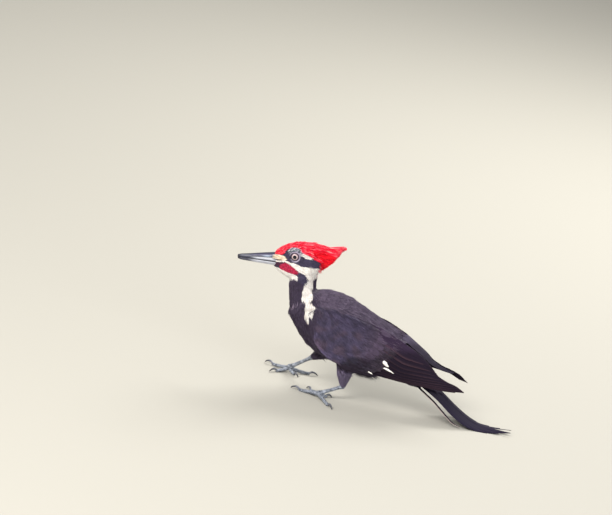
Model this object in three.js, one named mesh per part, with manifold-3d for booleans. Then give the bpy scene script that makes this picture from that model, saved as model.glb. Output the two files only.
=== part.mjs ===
// A male pileated woodpecker, life size, standing on the floor with its tail as a prop.
// Millimetres, +Z up, the bird faces -X and its left side is -Y. The floor is z = 0.
import * as THREE from "three";
import { mergeVertices } from "three/addons/utils/BufferGeometryUtils.js";
import Module from "manifold-3d";

const wasm = await Module();
wasm.setup();

// ---- Driving dimensions ----
const GAP = 0.3; // clearance between touching pieces
const SIDES = 20; // facets round a body section
const BILL = { tipX: -140, lowerTipX: -139.3, baseX: -84.5, rings: 8, sides: 12 };
const HEAD = { frontX: -94.5, backX: -27.5, rings: 11 };
const CREST = { frontX: -57.5, tipX: -1.5, rings: 11, sides: 12 };
const NECK = { lowZ: 92, highZ: 156, rings: 8 };
const TRUNK = { frontX: -60, backX: 135, rings: 18, round: 0.48 };
const EYE = { x: -64.5, y: 9.7, z: 175.6, radius: 6.2, socket: 0.3 };
const WING = { frontX: -31, tipX: 191.5, rings: 19, across: 6, thinnest: 1.2, edge: 0.35, lift: 2 };
const TAIL = { baseX: 114, rings: 7, thick: 1.5, thinning: 0.25, bedded: 0.25, roof: 0.22 };
// The tail feathers of one side, from the middle pair out: where each ends, how far it stands
// aside at its end, how far it hangs below the middle line, and its half width.
const RECTRICES = [
  { endX: 260, spread: 5, droop: 0, half: 6.4 },
  { endX: 247, spread: 9.5, droop: 0.8, half: 6.6 },
  { endX: 232, spread: 13.5, droop: 1.8, half: 6.2 },
  { endX: 214, spread: 17, droop: 3, half: 5.4 },
  { endX: 193, spread: 20.5, droop: 5.4, half: 3.4 },
];
const LEG = {
  left: { side: -1, hip: [31, 20, 58], heel: [33, 19, 18.5], palm: [4.5, 31, 5.6] },
  right: { side: 1, hip: [8, 20, 58], heel: [-19, 21, 33.5], palm: [-47, 37, 7.2] },
};
// Each toe's number, its bearing from straight ahead (positive is outwards), length and claw.
const TOES = {
  left: [
    { toe: 3, bearing: -15, length: 28, claw: 12 },
    { toe: 2, bearing: -50, length: 19, claw: 10.5 },
    { toe: 4, bearing: 126, length: 30, claw: 11.5 },
    { toe: 1, bearing: -152, length: 12, claw: 8 },
  ],
  right: [
    { toe: 3, bearing: 24, length: 27, claw: 12 },
    { toe: 2, bearing: -36, length: 19, claw: 10.5 },
    { toe: 4, bearing: 166, length: 28, claw: 11.5 },
    { toe: 1, bearing: -138, length: 12, claw: 8 },
  ],
};
const THIGH = { hipRadius: 16, midRadius: 11, heelRadius: 5, end: 0.93, rings: 6, sides: 14 };
const SHANK = { radius: 2.3, heelRadius: 3.2, palmRadius: 4.4, rings: 7, sides: 10 };
const TOE = { rootRadius: 2.9, endRadius: 2.1, arch: 2.2, rings: 5, sides: 8 };
const FLOOR_SLAB = { long: 900, wide: 400, deep: 40 }; // what the solids are cut level by
const CLAW = { radius: 1.7, rise: 3.4, rings: 5, sides: 6 };

// ---- Materials ----
const finish = (color, roughness, metalness = 0) =>
  new THREE.MeshStandardMaterial({ color, roughness, metalness });
const PLUMAGE = {
  black: finish(0x2b272d, 0.75),
  red: finish(0xd3122a, 0.7),
};
const HORN = { slate: finish(0x6b6d7a, 0.45), pale: finish(0xb9b7bb, 0.45) };
const CLAW_HORN = finish(0x4c4e57, 0.4);
const SCUTES = finish(0x7c8794, 0.6);
const IRIS = finish(0xd8c9b4, 0.15);

// ---- Curves and sections ----

/** A smooth curve through [at, value] stations that never overshoots them. */
function through(stations) {
  const [at, value] = [stations.map((s) => s[0]), stations.map((s) => s[1])];
  const slope = at.slice(1).map((a, i) => (value[i + 1] - value[i]) / (a - at[i]));
  const tangent = value.map((_, i) => {
    if (i === 0) return slope[0];
    if (i === slope.length) return slope[i - 1];
    const [before, after] = [slope[i - 1], slope[i]];
    return before * after <= 0 ? 0 : (2 * before * after) / (before + after);
  });
  return (x) => {
    const inside = THREE.MathUtils.clamp(x, at[0], at[at.length - 1]);
    let i = 0;
    while (i < slope.length - 1 && inside > at[i + 1]) i += 1;
    const width = at[i + 1] - at[i];
    const t = (inside - at[i]) / width;
    const keep = 1 + t * t * (2 * t - 3);
    return (
      keep * value[i] +
      (1 - keep) * value[i + 1] +
      t * (1 - t) * width * ((1 - t) * tangent[i] - t * tangent[i + 1])
    );
  };
}

/** count numbers from a to b, closer together at both ends. */
const eased = (a, b, count) =>
  Array.from({ length: count }, (_, i) => {
    const t = (i + 0.5) / count;
    return a + ((b - a) * (1 - Math.cos(Math.PI * t))) / 2;
  });

/** count numbers from a to b, evenly spaced, both ends included. */
const even = (a, b, count) =>
  Array.from({ length: count }, (_, i) => a + ((b - a) * i) / (count - 1));

/** Points round an egg section: half width, then reach above and below the middle. */
function egg(half, above, below, sides, place) {
  return Array.from({ length: sides }, (_, i) => {
    const angle = (2 * Math.PI * i) / sides;
    const lift = Math.sin(angle);
    return place(half * Math.cos(angle), lift * (lift > 0 ? above : below));
  });
}

/** A closed skin over rings of points, each end closed on its ring's middle. */
function skin(rings, grow = 0) {
  const middle = (ring) =>
    ring.reduce((sum, p) => sum.add(p), new THREE.Vector3()).divideScalar(ring.length);
  const swollen = rings.map((ring) => {
    const centre = middle(ring);
    return ring.map((p) => {
      const out = p.clone().sub(centre);
      return p.clone().addScaledVector(out.normalize(), grow);
    });
  });
  const last = rings.length - 1;
  const ends = [0, last].map((end) => {
    const [here, next] = [middle(rings[end]), middle(rings[end ? last - 1 : 1])];
    return here.clone().addScaledVector(here.clone().sub(next).normalize(), grow);
  });
  const sides = rings[0].length;
  const position = [...swollen.flat(), ...ends].flatMap((p) => p.toArray());
  const index = [];
  for (let r = 0; r < last; r += 1) {
    for (let s = 0; s < sides; s += 1) {
      const [a, b] = [r * sides + s, r * sides + ((s + 1) % sides)];
      index.push(a, b, a + sides, b, b + sides, a + sides);
    }
  }
  const [first, final] = [rings.length * sides, rings.length * sides + 1];
  for (let s = 0; s < sides; s += 1) {
    const t = (s + 1) % sides;
    index.push(first, t, s, final, last * sides + s, last * sides + t);
  }
  const geometry = new THREE.BufferGeometry();
  geometry.setAttribute("position", new THREE.Float32BufferAttribute(position, 3));
  return solidOf(geometry.setIndex(index));
}

/** A three.js geometry as a manifold solid with its faces pointing out. */
function solidOf(geometry) {
  const bare = geometry.clone();
  for (const name of ["normal", "uv"]) bare.deleteAttribute(name);
  const merged = mergeVertices(bare, 1e-4);
  const corners = new Uint32Array(merged.index.array);
  const build = () =>
    new wasm.Manifold(
      new wasm.Mesh({
        numProp: 3,
        vertProperties: new Float32Array(merged.attributes.position.array),
        triVerts: corners,
      }),
    );
  const made = build();
  if (made.volume() > 0) return made;
  for (let i = 0; i < corners.length; i += 3) {
    [corners[i + 1], corners[i + 2]] = [corners[i + 2], corners[i + 1]];
  }
  return build();
}

/** A manifold solid as a named three.js mesh. */
function meshOf(name, solid, material) {
  const { numProp, numVert, vertProperties, triVerts } = solid.getMesh();
  const position = new Float32Array(numVert * 3);
  for (let i = 0; i < numVert; i += 1) {
    position.set(vertProperties.subarray(i * numProp, i * numProp + 3), i * 3);
  }
  const geometry = new THREE.BufferGeometry();
  geometry.setAttribute("position", new THREE.BufferAttribute(position, 3));
  geometry.setIndex(new THREE.BufferAttribute(triVerts, 1));
  geometry.computeVertexNormals();
  const mesh = new THREE.Mesh(geometry, material);
  mesh.name = name;
  return mesh;
}

/** Upright sections at each x, from outlines of the top, the bottom and the half width. */
function alongX(xs, { top, bottom, half, sides = SIDES, round = 0.5 }) {
  return xs.map((x) => {
    const [high, low] = [top(x), bottom(x)];
    const mid = low + (high - low) * round;
    return egg(half(x), high - mid, mid - low, sides, (y, z) => new THREE.Vector3(x, y, mid + z));
  });
}

/** A round rod through points, with its radius at each, on a smooth curve. */
function rod(points, radii, rings, sides, grow = 0) {
  const path = new THREE.CatmullRomCurve3(points.map((p) => new THREE.Vector3(...p)));
  const radius = through(radii.map((r, i) => [i / (radii.length - 1), r]));
  const steps = even(0, 1, rings);
  return skin(
    steps.map((t) => {
      const [at, along] = [path.getPoint(t), path.getTangent(t)];
      const across = new THREE.Vector3(0, 0, 1).cross(along).normalize();
      const over = along.clone().cross(across);
      return egg(radius(t), radius(t), radius(t), sides, (a, b) =>
        at.clone().addScaledVector(across, a).addScaledVector(over, b),
      );
    }),
    grow,
  );
}

// ---- Head ----
const head = (grow = 0) =>
  skin(
    alongX(eased(HEAD.frontX, HEAD.backX, HEAD.rings), {
      top: through([[-94.5, 169.5], [-91, 177], [-84, 184], [-74, 190.5], [-64, 194.6],
        [-51, 196.6], [-41.5, 194.5], [-33.5, 187], [-30, 178], [-27.5, 169]]),
      bottom: through([[-94.5, 161.5], [-91.5, 154.5], [-85, 149.5], [-75, 144.5], [-65, 141],
        [-53, 140], [-43, 142.5], [-35, 150.5], [-30.5, 158], [-27.5, 166]]),
      half: through([[-94.5, 3], [-91, 7.5], [-84, 10.8], [-74, 13.6], [-64, 15.8],
        [-52, 17.4], [-42, 17.6], [-34, 15], [-30, 11], [-27.5, 5]]),
      round: 0.52,
    }),
    grow,
  );

const crest = (grow = 0) =>
  skin(
    alongX(eased(CREST.frontX, CREST.tipX, CREST.rings), {
      top: through([[-57.5, 194.5], [-47, 197.4], [-35, 197.5], [-26, 197.7], [-15, 200.2],
        [-8, 201.6], [-1.5, 201]]),
      bottom: through([[-57.5, 191.5], [-48, 180], [-36, 167], [-29.5, 157], [-27, 158],
        [-22, 166], [-15, 173.8], [-10, 183.5], [-5, 193], [-1.5, 198.5]]),
      half: through([[-57.5, 7], [-47.5, 12], [-35.5, 11.5], [-25.5, 8], [-15.5, 5.4],
        [-6.5, 3], [-1.5, 1.2]]),
      sides: CREST.sides,
      round: 0.55,
    }),
    grow,
  );

/** One half of the bill: its ridge, its cutting edge and its half width, along x. */
function mandible(ridge, edge, half, rises, tipX = BILL.tipX) {
  return (grow = 0) =>
    skin(
      even(tipX, BILL.baseX, BILL.rings).map((x) => {
        const [peak, lip, wide] = [ridge(x), edge(x), half(x)];
        return Array.from({ length: BILL.sides }, (_, i) => {
          const angle = (2 * Math.PI * i) / BILL.sides;
          const lift = Math.max(0, Math.sin(angle)) ** 0.8;
          const sag = 0.12 * Math.min(0, Math.sin(angle)) * Math.abs(peak - lip);
          return new THREE.Vector3(
            x,
            wide * Math.cos(angle),
            lip + lift * (peak - lip) + (rises ? sag : -sag) * 0.2,
          );
        });
      }),
      grow,
    );
}
const billHalf = through([[-140, 1.3], [-136.5, 2.4], [-124.5, 4.3], [-109.5, 6.1],
  [-94.5, 7.8], [-84.5, 8.6]]);
const billUpper = mandible(
  through([[-140, 156.8], [-136.5, 158.6], [-124.5, 163], [-109, 167.7], [-94, 172],
    [-84.5, 174.5]]),
  through([[-140, 155.2], [-124.5, 157.3], [-109.5, 159.4], [-94.5, 161.3], [-84.5, 162.6]]),
  billHalf,
  true,
);
const billLower = mandible(
  through([[-139.3, 153.8], [-135, 153], [-123, 152.4], [-112, 151.4], [-94.5, 151.6],
    [-84.5, 153]]),
  through([[-139.3, 154.9], [-124.5, 157], [-109.5, 159.1], [-94.5, 161], [-84.5, 162.3]]),
  (x) => billHalf(x) * 0.93,
  false,
  BILL.lowerTipX,
);

const eye = (side) => (grow = 0) =>
  solidOf(
    new THREE.SphereGeometry(EYE.radius + grow, 12, 10).translate(EYE.x, side * EYE.y, EYE.z),
  );

// ---- Neck and trunk ----
const neck = (grow = 0) => {
  const front = through([[92, -38], [100, -55], [107, -60.2], [115, -62.2], [122, -63.8],
    [130, -65.6], [138, -67], [146, -66], [156, -60]]);
  const back = through([[92, -9], [104, -14.5], [119, -22.5], [129, -26.5], [138, -29.2],
    [146, -30.4], [156, -30]]);
  const half = through([[92, 22], [104, 22.5], [118, 19], [130, 17], [142, 16.2], [156, 15.5]]);
  return skin(
    even(NECK.lowZ, NECK.highZ, NECK.rings).map((z) => {
      const mid = (front(z) + back(z)) / 2;
      const reach = back(z) - mid;
      return egg(half(z), reach, reach, SIDES, (y, x) => new THREE.Vector3(mid + x, y, z));
    }),
    grow,
  );
};

const trunkOutline = {
  top: through([[-60, 107], [-54, 117.5], [-43.5, 127], [-31.5, 134.5], [-15, 138.2],
    [1, 138], [24.5, 131.2], [49, 121.2], [74, 108.5], [95.5, 93.5], [114.5, 76.5],
    [126.5, 64.5], [135, 55]]),
  bottom: through([[-60, 100], [-55.5, 92.5], [-46, 80], [-36, 68], [-26, 59.5], [-12, 51.5],
    [5.5, 45.5], [25.5, 42], [44, 36.5], [56, 33.5], [67, 37.5], [80, 40], [96, 39.5],
    [113.5, 37], [125.5, 34.5], [135, 34]]),
  half: through([[-60, 5], [-55, 15], [-45, 23.5], [-35, 29], [-19, 34.5], [3, 38], [27, 39],
    [48, 37.5], [73, 33], [95, 27], [115, 21], [127, 16], [135, 10]]),
};

/** How far out the trunk's side lies at x and z. */
function trunkSide(x, z) {
  const [high, low] = [trunkOutline.top(x), trunkOutline.bottom(x)];
  const mid = low + (high - low) * TRUNK.round;
  const lift = (z - mid) / (z > mid ? high - mid : mid - low);
  return x > TRUNK.backX ? 0 : trunkOutline.half(x) * Math.sqrt(Math.max(0, 1 - lift * lift));
}
const trunk = (grow = 0) =>
  skin(alongX(eased(TRUNK.frontX, TRUNK.backX, TRUNK.rings), { ...trunkOutline, round: TRUNK.round }), grow);

// ---- Wings ----

/** The folded wing: its lower and upper edges, and how far out it lies at each. */
const wingOutline = {
  low: through([[-31, 105], [-28, 97], [-21, 84], [-9.5, 68.5], [4, 59], [22, 54], [47, 51.5],
    [82, 50], [121.5, 48.5], [152, 49], [172, 50.5], [186, 49.5], [191.5, 49]]),
  high: through([[-31, 110], [-26, 118], [-15.5, 124.5], [0.5, 127], [24.5, 123], [54, 114.5],
    [85.5, 103.5], [105.5, 95], [125, 86], [139, 77.5], [146.5, 71.5], [154.5, 65],
    [170, 61], [182, 58], [188, 55], [191.5, 51.5]]),
  lowY: through([[-31, 25], [-22, 29], [-6, 34], [22, 37], [62, 37], [102, 35], [142, 35],
    [167, 34], [182, 29], [191.5, 25]]),
  highY: through([[-31, 24], [-16.5, 23], [3.5, 21], [53.5, 16], [85.5, 14], [125.5, 15],
    [147.5, 21.5], [168.5, 28.5], [183.5, 27.5], [191.5, 24]]),
  bulge: through([[-31, 1], [-17, 7], [13, 12], [53, 13.5], [93, 10.5], [133, 5], [163, 2],
    [191.5, 0.6]]),
  thick: through([[-31, 3], [-17, 7], [30, 7.5], [80, 5], [130, 3], [165, 1.8], [191.5, 1.2]]),
};
const wing = (side) => (grow = 0) => {
  const o = wingOutline;
  return skin(
    even(WING.frontX, WING.tipX, WING.rings).map((x) => {
      const face = (t, depth) => {
        const slope = new THREE.Vector2(o.highY(x) - o.lowY(x), o.high(x) - o.low(x)).normalize();
        const out = 4 * t * (1 - t) * o.bulge(x);
        const z = THREE.MathUtils.lerp(o.low(x), o.high(x), t) - slope.x * out;
        const free = THREE.MathUtils.lerp(o.lowY(x), o.highY(x), t) + slope.y * out;
        const y = Math.max(free, trunkSide(x, z) + WING.lift);
        return new THREE.Vector3(x, side * (y - slope.y * depth), z + slope.x * depth);
      };
      const outer = even(0, 1, WING.across).map((t) => face(t, 0));
      const fullness = (t) => WING.edge + 4 * t * (1 - t) * (1 - WING.edge);
      const inner = even(1, 0, WING.across).map((t) =>
        face(t, Math.max(WING.thinnest, o.thick(x) * fullness(t))),
      );
      return [...outer, ...inner];
    }),
    grow,
  );
};

// ---- Tail ----

/** The tail's own line: its height over the floor along x, and its slope there. */
const tailHeight = through([[114, 57], [131, 49], [150, 40.5], [160, 34.8], [170, 28],
  [180, 21], [190, 14.8], [200, 9.3], [210, 5], [219, 2.6], [228, 2], [240, 2.6], [262, 5]]);

/** One tail feather, a stiff blade with a pointed tip, lower at its outer edge. */
const rectrix = (side, { endX, spread, droop, half: widest }) => (grow = 0) => {
  const half = through([[0, 0.62], [0.25, 0.9], [0.6, 1], [0.82, 0.78], [0.94, 0.34], [1, 0.12]]);
  const fan = through([[0, 0.45], [0.4, 0.85], [1, 1]]);
  const section = [[-1, 0.35], [0, 0.75], [1, 0.35], [1, -0.35], [0, -0.5], [-1, -0.35]];
  return skin(
    even(TAIL.baseX, endX, TAIL.rings).map((x) => {
      const t = (x - TAIL.baseX) / (endX - TAIL.baseX);
      const y = side * spread * fan(t);
      const z = Math.max(TAIL.thick * TAIL.bedded, tailHeight(x) - droop);
      const thick = TAIL.thick * (1 - TAIL.thinning * t);
      return section.map(([across, over]) => {
        const aside = across * widest * half(t);
        return new THREE.Vector3(x, y + aside, z + over * thick - side * aside * TAIL.roof);
      });
    }),
    grow,
  );
};

// ---- Legs ----
const aside = (leg, [x, y, z]) => [x, leg.side * y, z];

/** The feathered thigh, from inside the belly to just above the heel. */
const thigh = (leg) => (grow = 0) => {
  const [hip, heel] = [aside(leg, leg.hip), aside(leg, leg.heel)];
  const toHeel = (t) => hip.map((h, i) => h + (heel[i] - h) * t);
  return rod(
    [hip, toHeel(0.5), toHeel(THIGH.end)],
    [THIGH.hipRadius, THIGH.midRadius, THIGH.heelRadius],
    THIGH.rings,
    THIGH.sides,
    grow,
  );
};

const shank = (leg) => (grow = 0) => {
  const [heel, palm] = [aside(leg, leg.heel), aside(leg, leg.palm)];
  const toPalm = (t) => heel.map((h, i) => h + (palm[i] - h) * t);
  return rod(
    [toPalm(-0.06), toPalm(0.12), toPalm(0.5), toPalm(0.85), toPalm(1.06)],
    [0.8 * SHANK.heelRadius, SHANK.heelRadius, SHANK.radius, 1.2 * SHANK.radius,
      0.7 * SHANK.palmRadius],
    SHANK.rings,
    SHANK.sides,
    grow,
  );
};

/** A point on a toe's line: out from the palm by reach, at a height over the floor. */
function onToe(leg, bearing, reach, height) {
  const [x, y] = aside(leg, leg.palm);
  const turn = THREE.MathUtils.degToRad(bearing);
  return [x - Math.cos(turn) * reach, y + leg.side * Math.sin(turn) * reach, height];
}

const FLOOR = solidOf(
  new THREE.BoxGeometry(FLOOR_SLAB.long, FLOOR_SLAB.wide, FLOOR_SLAB.deep).translate(
    0,
    0,
    -FLOOR_SLAB.deep / 2,
  ),
);

const toe = (leg, { bearing, length }) => (grow = 0) => {
  const { rootRadius, endRadius, arch, rings, sides } = TOE;
  const knuckle = endRadius * 0.8;
  return rod(
    [
      onToe(leg, bearing, 1, leg.palm[2] - 1.2),
      onToe(leg, bearing, length * 0.35, knuckle + arch),
      onToe(leg, bearing, length * 0.7, knuckle + arch * 0.35),
      onToe(leg, bearing, length, knuckle),
    ],
    [rootRadius, rootRadius * 0.92, rootRadius * 0.85, endRadius],
    rings,
    sides,
    grow,
  );
};

const claw = (leg, { bearing, length, claw: reach }) => (grow = 0) => {
  const { radius, rise, rings, sides } = CLAW;
  return rod(
    [
      onToe(leg, bearing, length + 0.2, radius + 0.2),
      onToe(leg, bearing, length + reach * 0.35, radius + rise),
      onToe(leg, bearing, length + reach * 0.75, radius + rise * 0.55),
      onToe(leg, bearing, length + reach, 0.8),
    ],
    [radius, radius * 0.9, radius * 0.6, 0.3],
    rings,
    sides,
    grow,
  );
};

// ---- Assembly ----
const bird = new THREE.Group();

/** Adds a piece, cut clear of the pieces that it meets. */
function add(name, make, material, clearOf = []) {
  const cut = clearOf.reduce((solid, other) => solid.subtract(other(GAP)), make());
  const whole = cut.subtract(FLOOR);
  const largest = whole
    .decompose()
    .reduce((best, body) => (body.volume() > best.volume() ? body : best));
  bird.add(meshOf(name, largest, material));
}

const eyes = { left: eye(-1), right: eye(1) };
add("eye_left", eyes.left, IRIS);
add("eye_right", eyes.right, IRIS);
const inSocket = Object.values(eyes).map((ball) => (grow) => ball(Math.max(grow, EYE.socket)));
add("head", head, PLUMAGE.black, inSocket);
add("crest", crest, PLUMAGE.red, [head, ...inSocket]);
add("bill_upper", billUpper, HORN.slate, [head]);
add("bill_lower", billLower, HORN.pale, [head, billUpper]);
add("trunk", trunk, PLUMAGE.black);
add("neck", neck, PLUMAGE.black, [head, crest, trunk]);

const blades = RECTRICES.flatMap((feather) => [rectrix(-1, feather), rectrix(1, feather)]);
const tail = (grow = 0) =>
  blades.map((blade) => blade(grow)).reduce((joined, blade) => joined.add(blade));
add("tail", tail, PLUMAGE.black, [trunk]);

for (const [name, leg] of Object.entries(LEG)) {
  const [thighHere, shankHere] = [thigh(leg), shank(leg)];
  add(`wing_${name}`, wing(leg.side), PLUMAGE.black, [trunk, neck, tail, thighHere]);
  add(`thigh_${name}`, thighHere, PLUMAGE.black, [trunk]);
  add(`tarsus_${name}`, shankHere, SCUTES, [thighHere, trunk]);
  const done = [shankHere];
  for (const spec of TOES[name]) {
    const [toeHere, clawHere] = [toe(leg, spec), claw(leg, spec)];
    add(`toe_${name}_${spec.toe}`, toeHere, SCUTES, done);
    add(`claw_${name}_${spec.toe}`, clawHere, CLAW_HORN, [toeHere]);
    done.push(toeHere);
  }
}

// The frame's origin is on the floor, under the middle of the bird's bounding box.
const middle = new THREE.Box3().setFromObject(bird).getCenter(new THREE.Vector3());
bird.position.set(-middle.x, -middle.y, 0);

export default bird;
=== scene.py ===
"""A life-size male pileated woodpecker: plumage, bill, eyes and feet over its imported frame.

Sizes are in millimetres in the maker's drawing frame: the bird faces -X, its left side is -Y,
the floor is z = 0 and the middle plane is y = 0. Meshes go out in the model's metres.
"""

import logging
import math
from dataclasses import dataclass, field
from enum import Enum
from typing import Callable

import bmesh
import bpy
import numpy as np
from bpy.types import Material, Mesh, Node, NodeSocket, NodeTree, Object
from mathutils import Matrix, Vector
from mathutils.bvhtree import BVHTree


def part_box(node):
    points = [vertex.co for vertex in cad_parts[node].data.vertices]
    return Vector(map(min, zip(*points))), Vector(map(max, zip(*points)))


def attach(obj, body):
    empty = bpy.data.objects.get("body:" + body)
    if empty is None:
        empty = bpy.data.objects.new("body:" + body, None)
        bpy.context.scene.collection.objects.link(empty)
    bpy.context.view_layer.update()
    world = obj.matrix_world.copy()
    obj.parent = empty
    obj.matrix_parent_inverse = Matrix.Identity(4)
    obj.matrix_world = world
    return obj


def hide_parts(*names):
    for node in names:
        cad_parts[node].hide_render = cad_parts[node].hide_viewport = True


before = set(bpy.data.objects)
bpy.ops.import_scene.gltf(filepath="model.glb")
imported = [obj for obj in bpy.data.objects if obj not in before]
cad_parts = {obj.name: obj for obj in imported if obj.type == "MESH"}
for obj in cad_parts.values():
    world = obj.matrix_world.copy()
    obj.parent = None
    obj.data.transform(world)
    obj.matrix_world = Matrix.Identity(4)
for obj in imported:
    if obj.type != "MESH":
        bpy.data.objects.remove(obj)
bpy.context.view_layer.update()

LOG = logging.getLogger("woodpecker")
BODY = "root"
LEAF_MAP = "leaf"  # u across a feather, v from its root to its tip
BAKE_MAP = "OFBake"
PATCH = 0.003  # how wide a tuft is on the bake map
TINT = "tint"
SIDES = {"left": -1, "right": 1}

Points = np.ndarray
Triple = tuple[float, float, float]  # a colour or a place
Paint = Callable[[Points, Points], Points]  # colours for places, given a chance for each


# ---- Sizes and curves ----


def srgb(red: int, green: int, blue: int) -> Triple:
    """A screen colour as linear light."""
    return tuple(((c / 255 + 0.055) / 1.055) ** 2.4 if c > 10 else c / 3295 for c in (red, green, blue))


class Profile:
    """A smooth curve through (at, value) stations that never overshoots them."""

    def __init__(self, *stations: tuple[float, float]) -> None:
        """Fits the curve.

        Args:
            stations: pairs of place and value, in rising order of place.
        """
        self.at, self.value = np.array(stations, float).T
        slope = np.diff(self.value) / np.diff(self.at)
        before, after = slope[:-1], slope[1:]
        product = before * after
        total = np.where(product > 0, before + after, 1.0)
        inner = np.where(product > 0, 2 * product / total, 0.0)
        self.tangent = np.concatenate([slope[:1], inner, slope[-1:]])

    def __call__(self, place: Points | float) -> Points:
        """Reads the curve.

        Args:
            place: where to read it; past its ends it stays level.

        Returns:
            The curve's value at each place.
        """
        x = np.clip(place, self.at[0], self.at[-1])
        i = np.clip(np.searchsorted(self.at, x) - 1, 0, len(self.at) - 2)
        wide = self.at[i + 1] - self.at[i]
        t = (x - self.at[i]) / wide
        keep = 1 + t * t * (2 * t - 3)
        bend = t * (1 - t) * wide * ((1 - t) * self.tangent[i] - t * self.tangent[i + 1])
        return keep * self.value[i] + (1 - keep) * self.value[i + 1] + bend


def ease(low: float, high: float, value: Points) -> Points:
    """0 up to low, 1 from high, and an easy slope between."""
    t = np.clip((value - low) / (high - low), 0, 1)
    return t * t * (3 - 2 * t)


def bump(place: Points, middle: float, width: float) -> Points:
    """1 at the middle and falling off smoothly on both sides."""
    return np.exp(-(((place - middle) / width) ** 2))


def unit(vectors: Points) -> Points:
    """The same directions with length 1."""
    return vectors / np.maximum(np.linalg.norm(vectors, axis=-1, keepdims=True), 1e-12)


def smooth_path(knots: Points, count: int) -> Points:
    """A curve through knots.

    Args:
        knots: points to pass, in order.
        count: how many points to return.

    Returns:
        Points evenly shared between the knots along a Catmull-Rom curve.
    """
    knots = np.asarray(knots, float)
    padded = np.vstack([2 * knots[0] - knots[1], knots, 2 * knots[-1] - knots[-2]])
    at = np.linspace(0, len(knots) - 1, count)
    i = np.minimum(at.astype(int), len(knots) - 2)
    t = (at - i)[:, None]
    a, b, c, d = (padded[i + k] for k in range(4))
    return 0.5 * (2 * b + (c - a) * t + (2 * a - 5 * b + 4 * c - d) * t**2 + (3 * b - a - 3 * c + d) * t**3)


class Drawing:
    """The drawing frame, placed in the model by the centre of the left eye."""

    # the middle of the left eye's solid, and of the ball that shows, a little back and up from it
    EYE = np.array([-64.5, -9.7, 175.6])
    BALL = np.array([-63.8, -9.7, 176.8])

    def __init__(self) -> None:
        """Finds how far the drawing is moved in the model."""
        low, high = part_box("eye_left")
        self.shift = (np.array(low) + np.array(high)) / 2 - self.EYE / 1000

    def to_model(self, points: Points) -> Points:
        """Drawing millimetres to model metres."""
        return np.asarray(points, float) / 1000 + self.shift

    def to_drawing(self, points: Points) -> Points:
        """Model metres to drawing millimetres."""
        return (np.asarray(points, float) - self.shift) * 1000

    def of(self, mesh: Mesh) -> Points:
        """A mesh's vertices, in drawing millimetres."""
        return self.to_drawing(vertices(mesh))


DRAWING = Drawing()


# ---- Meshes ----


def pull(items: bpy.types.bpy_prop_collection, key: str, width: int, kind: type = np.float32) -> Points:
    """A property of every item in a list, one row for each."""
    out = np.empty(len(items) * width, kind)
    items.foreach_get(key, out)
    return out.reshape(-1, width) if width > 1 else out


def vertices(mesh: Mesh) -> Points:
    """A mesh's vertices, in metres."""
    return pull(mesh.vertices, "co", 3).astype(float)


def normals(mesh: Mesh) -> Points:
    """A mesh's vertex normals."""
    return pull(mesh.vertices, "normal", 3).astype(float)


def corners(mesh: Mesh) -> Points:
    """The vertex of each face corner."""
    return pull(mesh.loops, "vertex_index", 1, np.int32)


def leaf_of(mesh: Mesh) -> tuple[Points, Points]:
    """Places on the feather map.

    Args:
        mesh: a mesh with that map.

    Returns:
        The place of each face corner, and of each vertex.
    """
    by_corner = pull(mesh.uv_layers[LEAF_MAP].data, "uv", 2)
    by_vertex = np.zeros((len(mesh.vertices), 2))
    by_vertex[corners(mesh)] = by_corner
    return by_corner, by_vertex


def write(mesh: Mesh, name: str, kind: str, values: Points) -> None:
    """Sets a named attribute on a mesh's vertices.

    Args:
        mesh: the mesh to write on.
        name: the attribute's name.
        kind: FLOAT, FLOAT_VECTOR or FLOAT_COLOR.
        values: one row for each vertex.
    """
    if name in mesh.attributes:
        mesh.attributes.remove(mesh.attributes[name])
    made = mesh.attributes.new(name, kind, "POINT")
    key = {"FLOAT": "value", "FLOAT_VECTOR": "vector", "FLOAT_COLOR": "color"}[kind]
    made.data.foreach_set(key, np.ascontiguousarray(values, np.float32).ravel())


def place_vertices(mesh: Mesh, points: Points) -> None:
    """Moves a mesh's vertices to points, in metres."""
    mesh.vertices.foreach_set("co", np.ascontiguousarray(points, np.float32).ravel())
    mesh.update()


def set_map(mesh: Mesh, name: str, by_corner: Points) -> None:
    """Gives a mesh a UV map, one row for each face corner."""
    layer = mesh.uv_layers.get(name) or mesh.uv_layers.new(name=name)
    layer.data.foreach_set("uv", np.ascontiguousarray(by_corner, np.float32).ravel())


def face_outward(mesh: Mesh) -> None:
    """Turns a closed mesh's faces outwards."""
    form = bmesh.new()
    form.from_mesh(mesh)
    bmesh.ops.recalc_face_normals(form, faces=form.faces)
    form.to_mesh(mesh)
    form.free()


def smooth_shaded(mesh: Mesh) -> Mesh:
    """The same mesh, shaded smooth."""
    mesh.polygons.foreach_set("use_smooth", np.ones(len(mesh.polygons), bool))
    mesh.update()
    return mesh


def paired(across: Points, along: Points) -> Points:
    """Places on a map, from two arrays that spread over each other."""
    return np.stack(np.broadcast_arrays(across, along), -1)


def plain(colour: Triple, count: int) -> Points:
    """One colour, repeated for each of count vertices."""
    return np.tile(np.array(colour), (count, 1))


def set_tint(mesh: Mesh, colours: Points) -> None:
    """Gives each vertex its colour."""
    write(mesh, TINT, "FLOAT_COLOR", np.column_stack([colours, np.ones(len(colours))]))


def quads(grid: Points) -> Points:
    """The faces round a grid of vertices, whose rows are closed rings."""
    onward = np.roll(grid, -1, axis=1)
    return np.stack([grid[:-1], onward[:-1], onward[1:], grid[1:]], -1).reshape(-1, 4)


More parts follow.
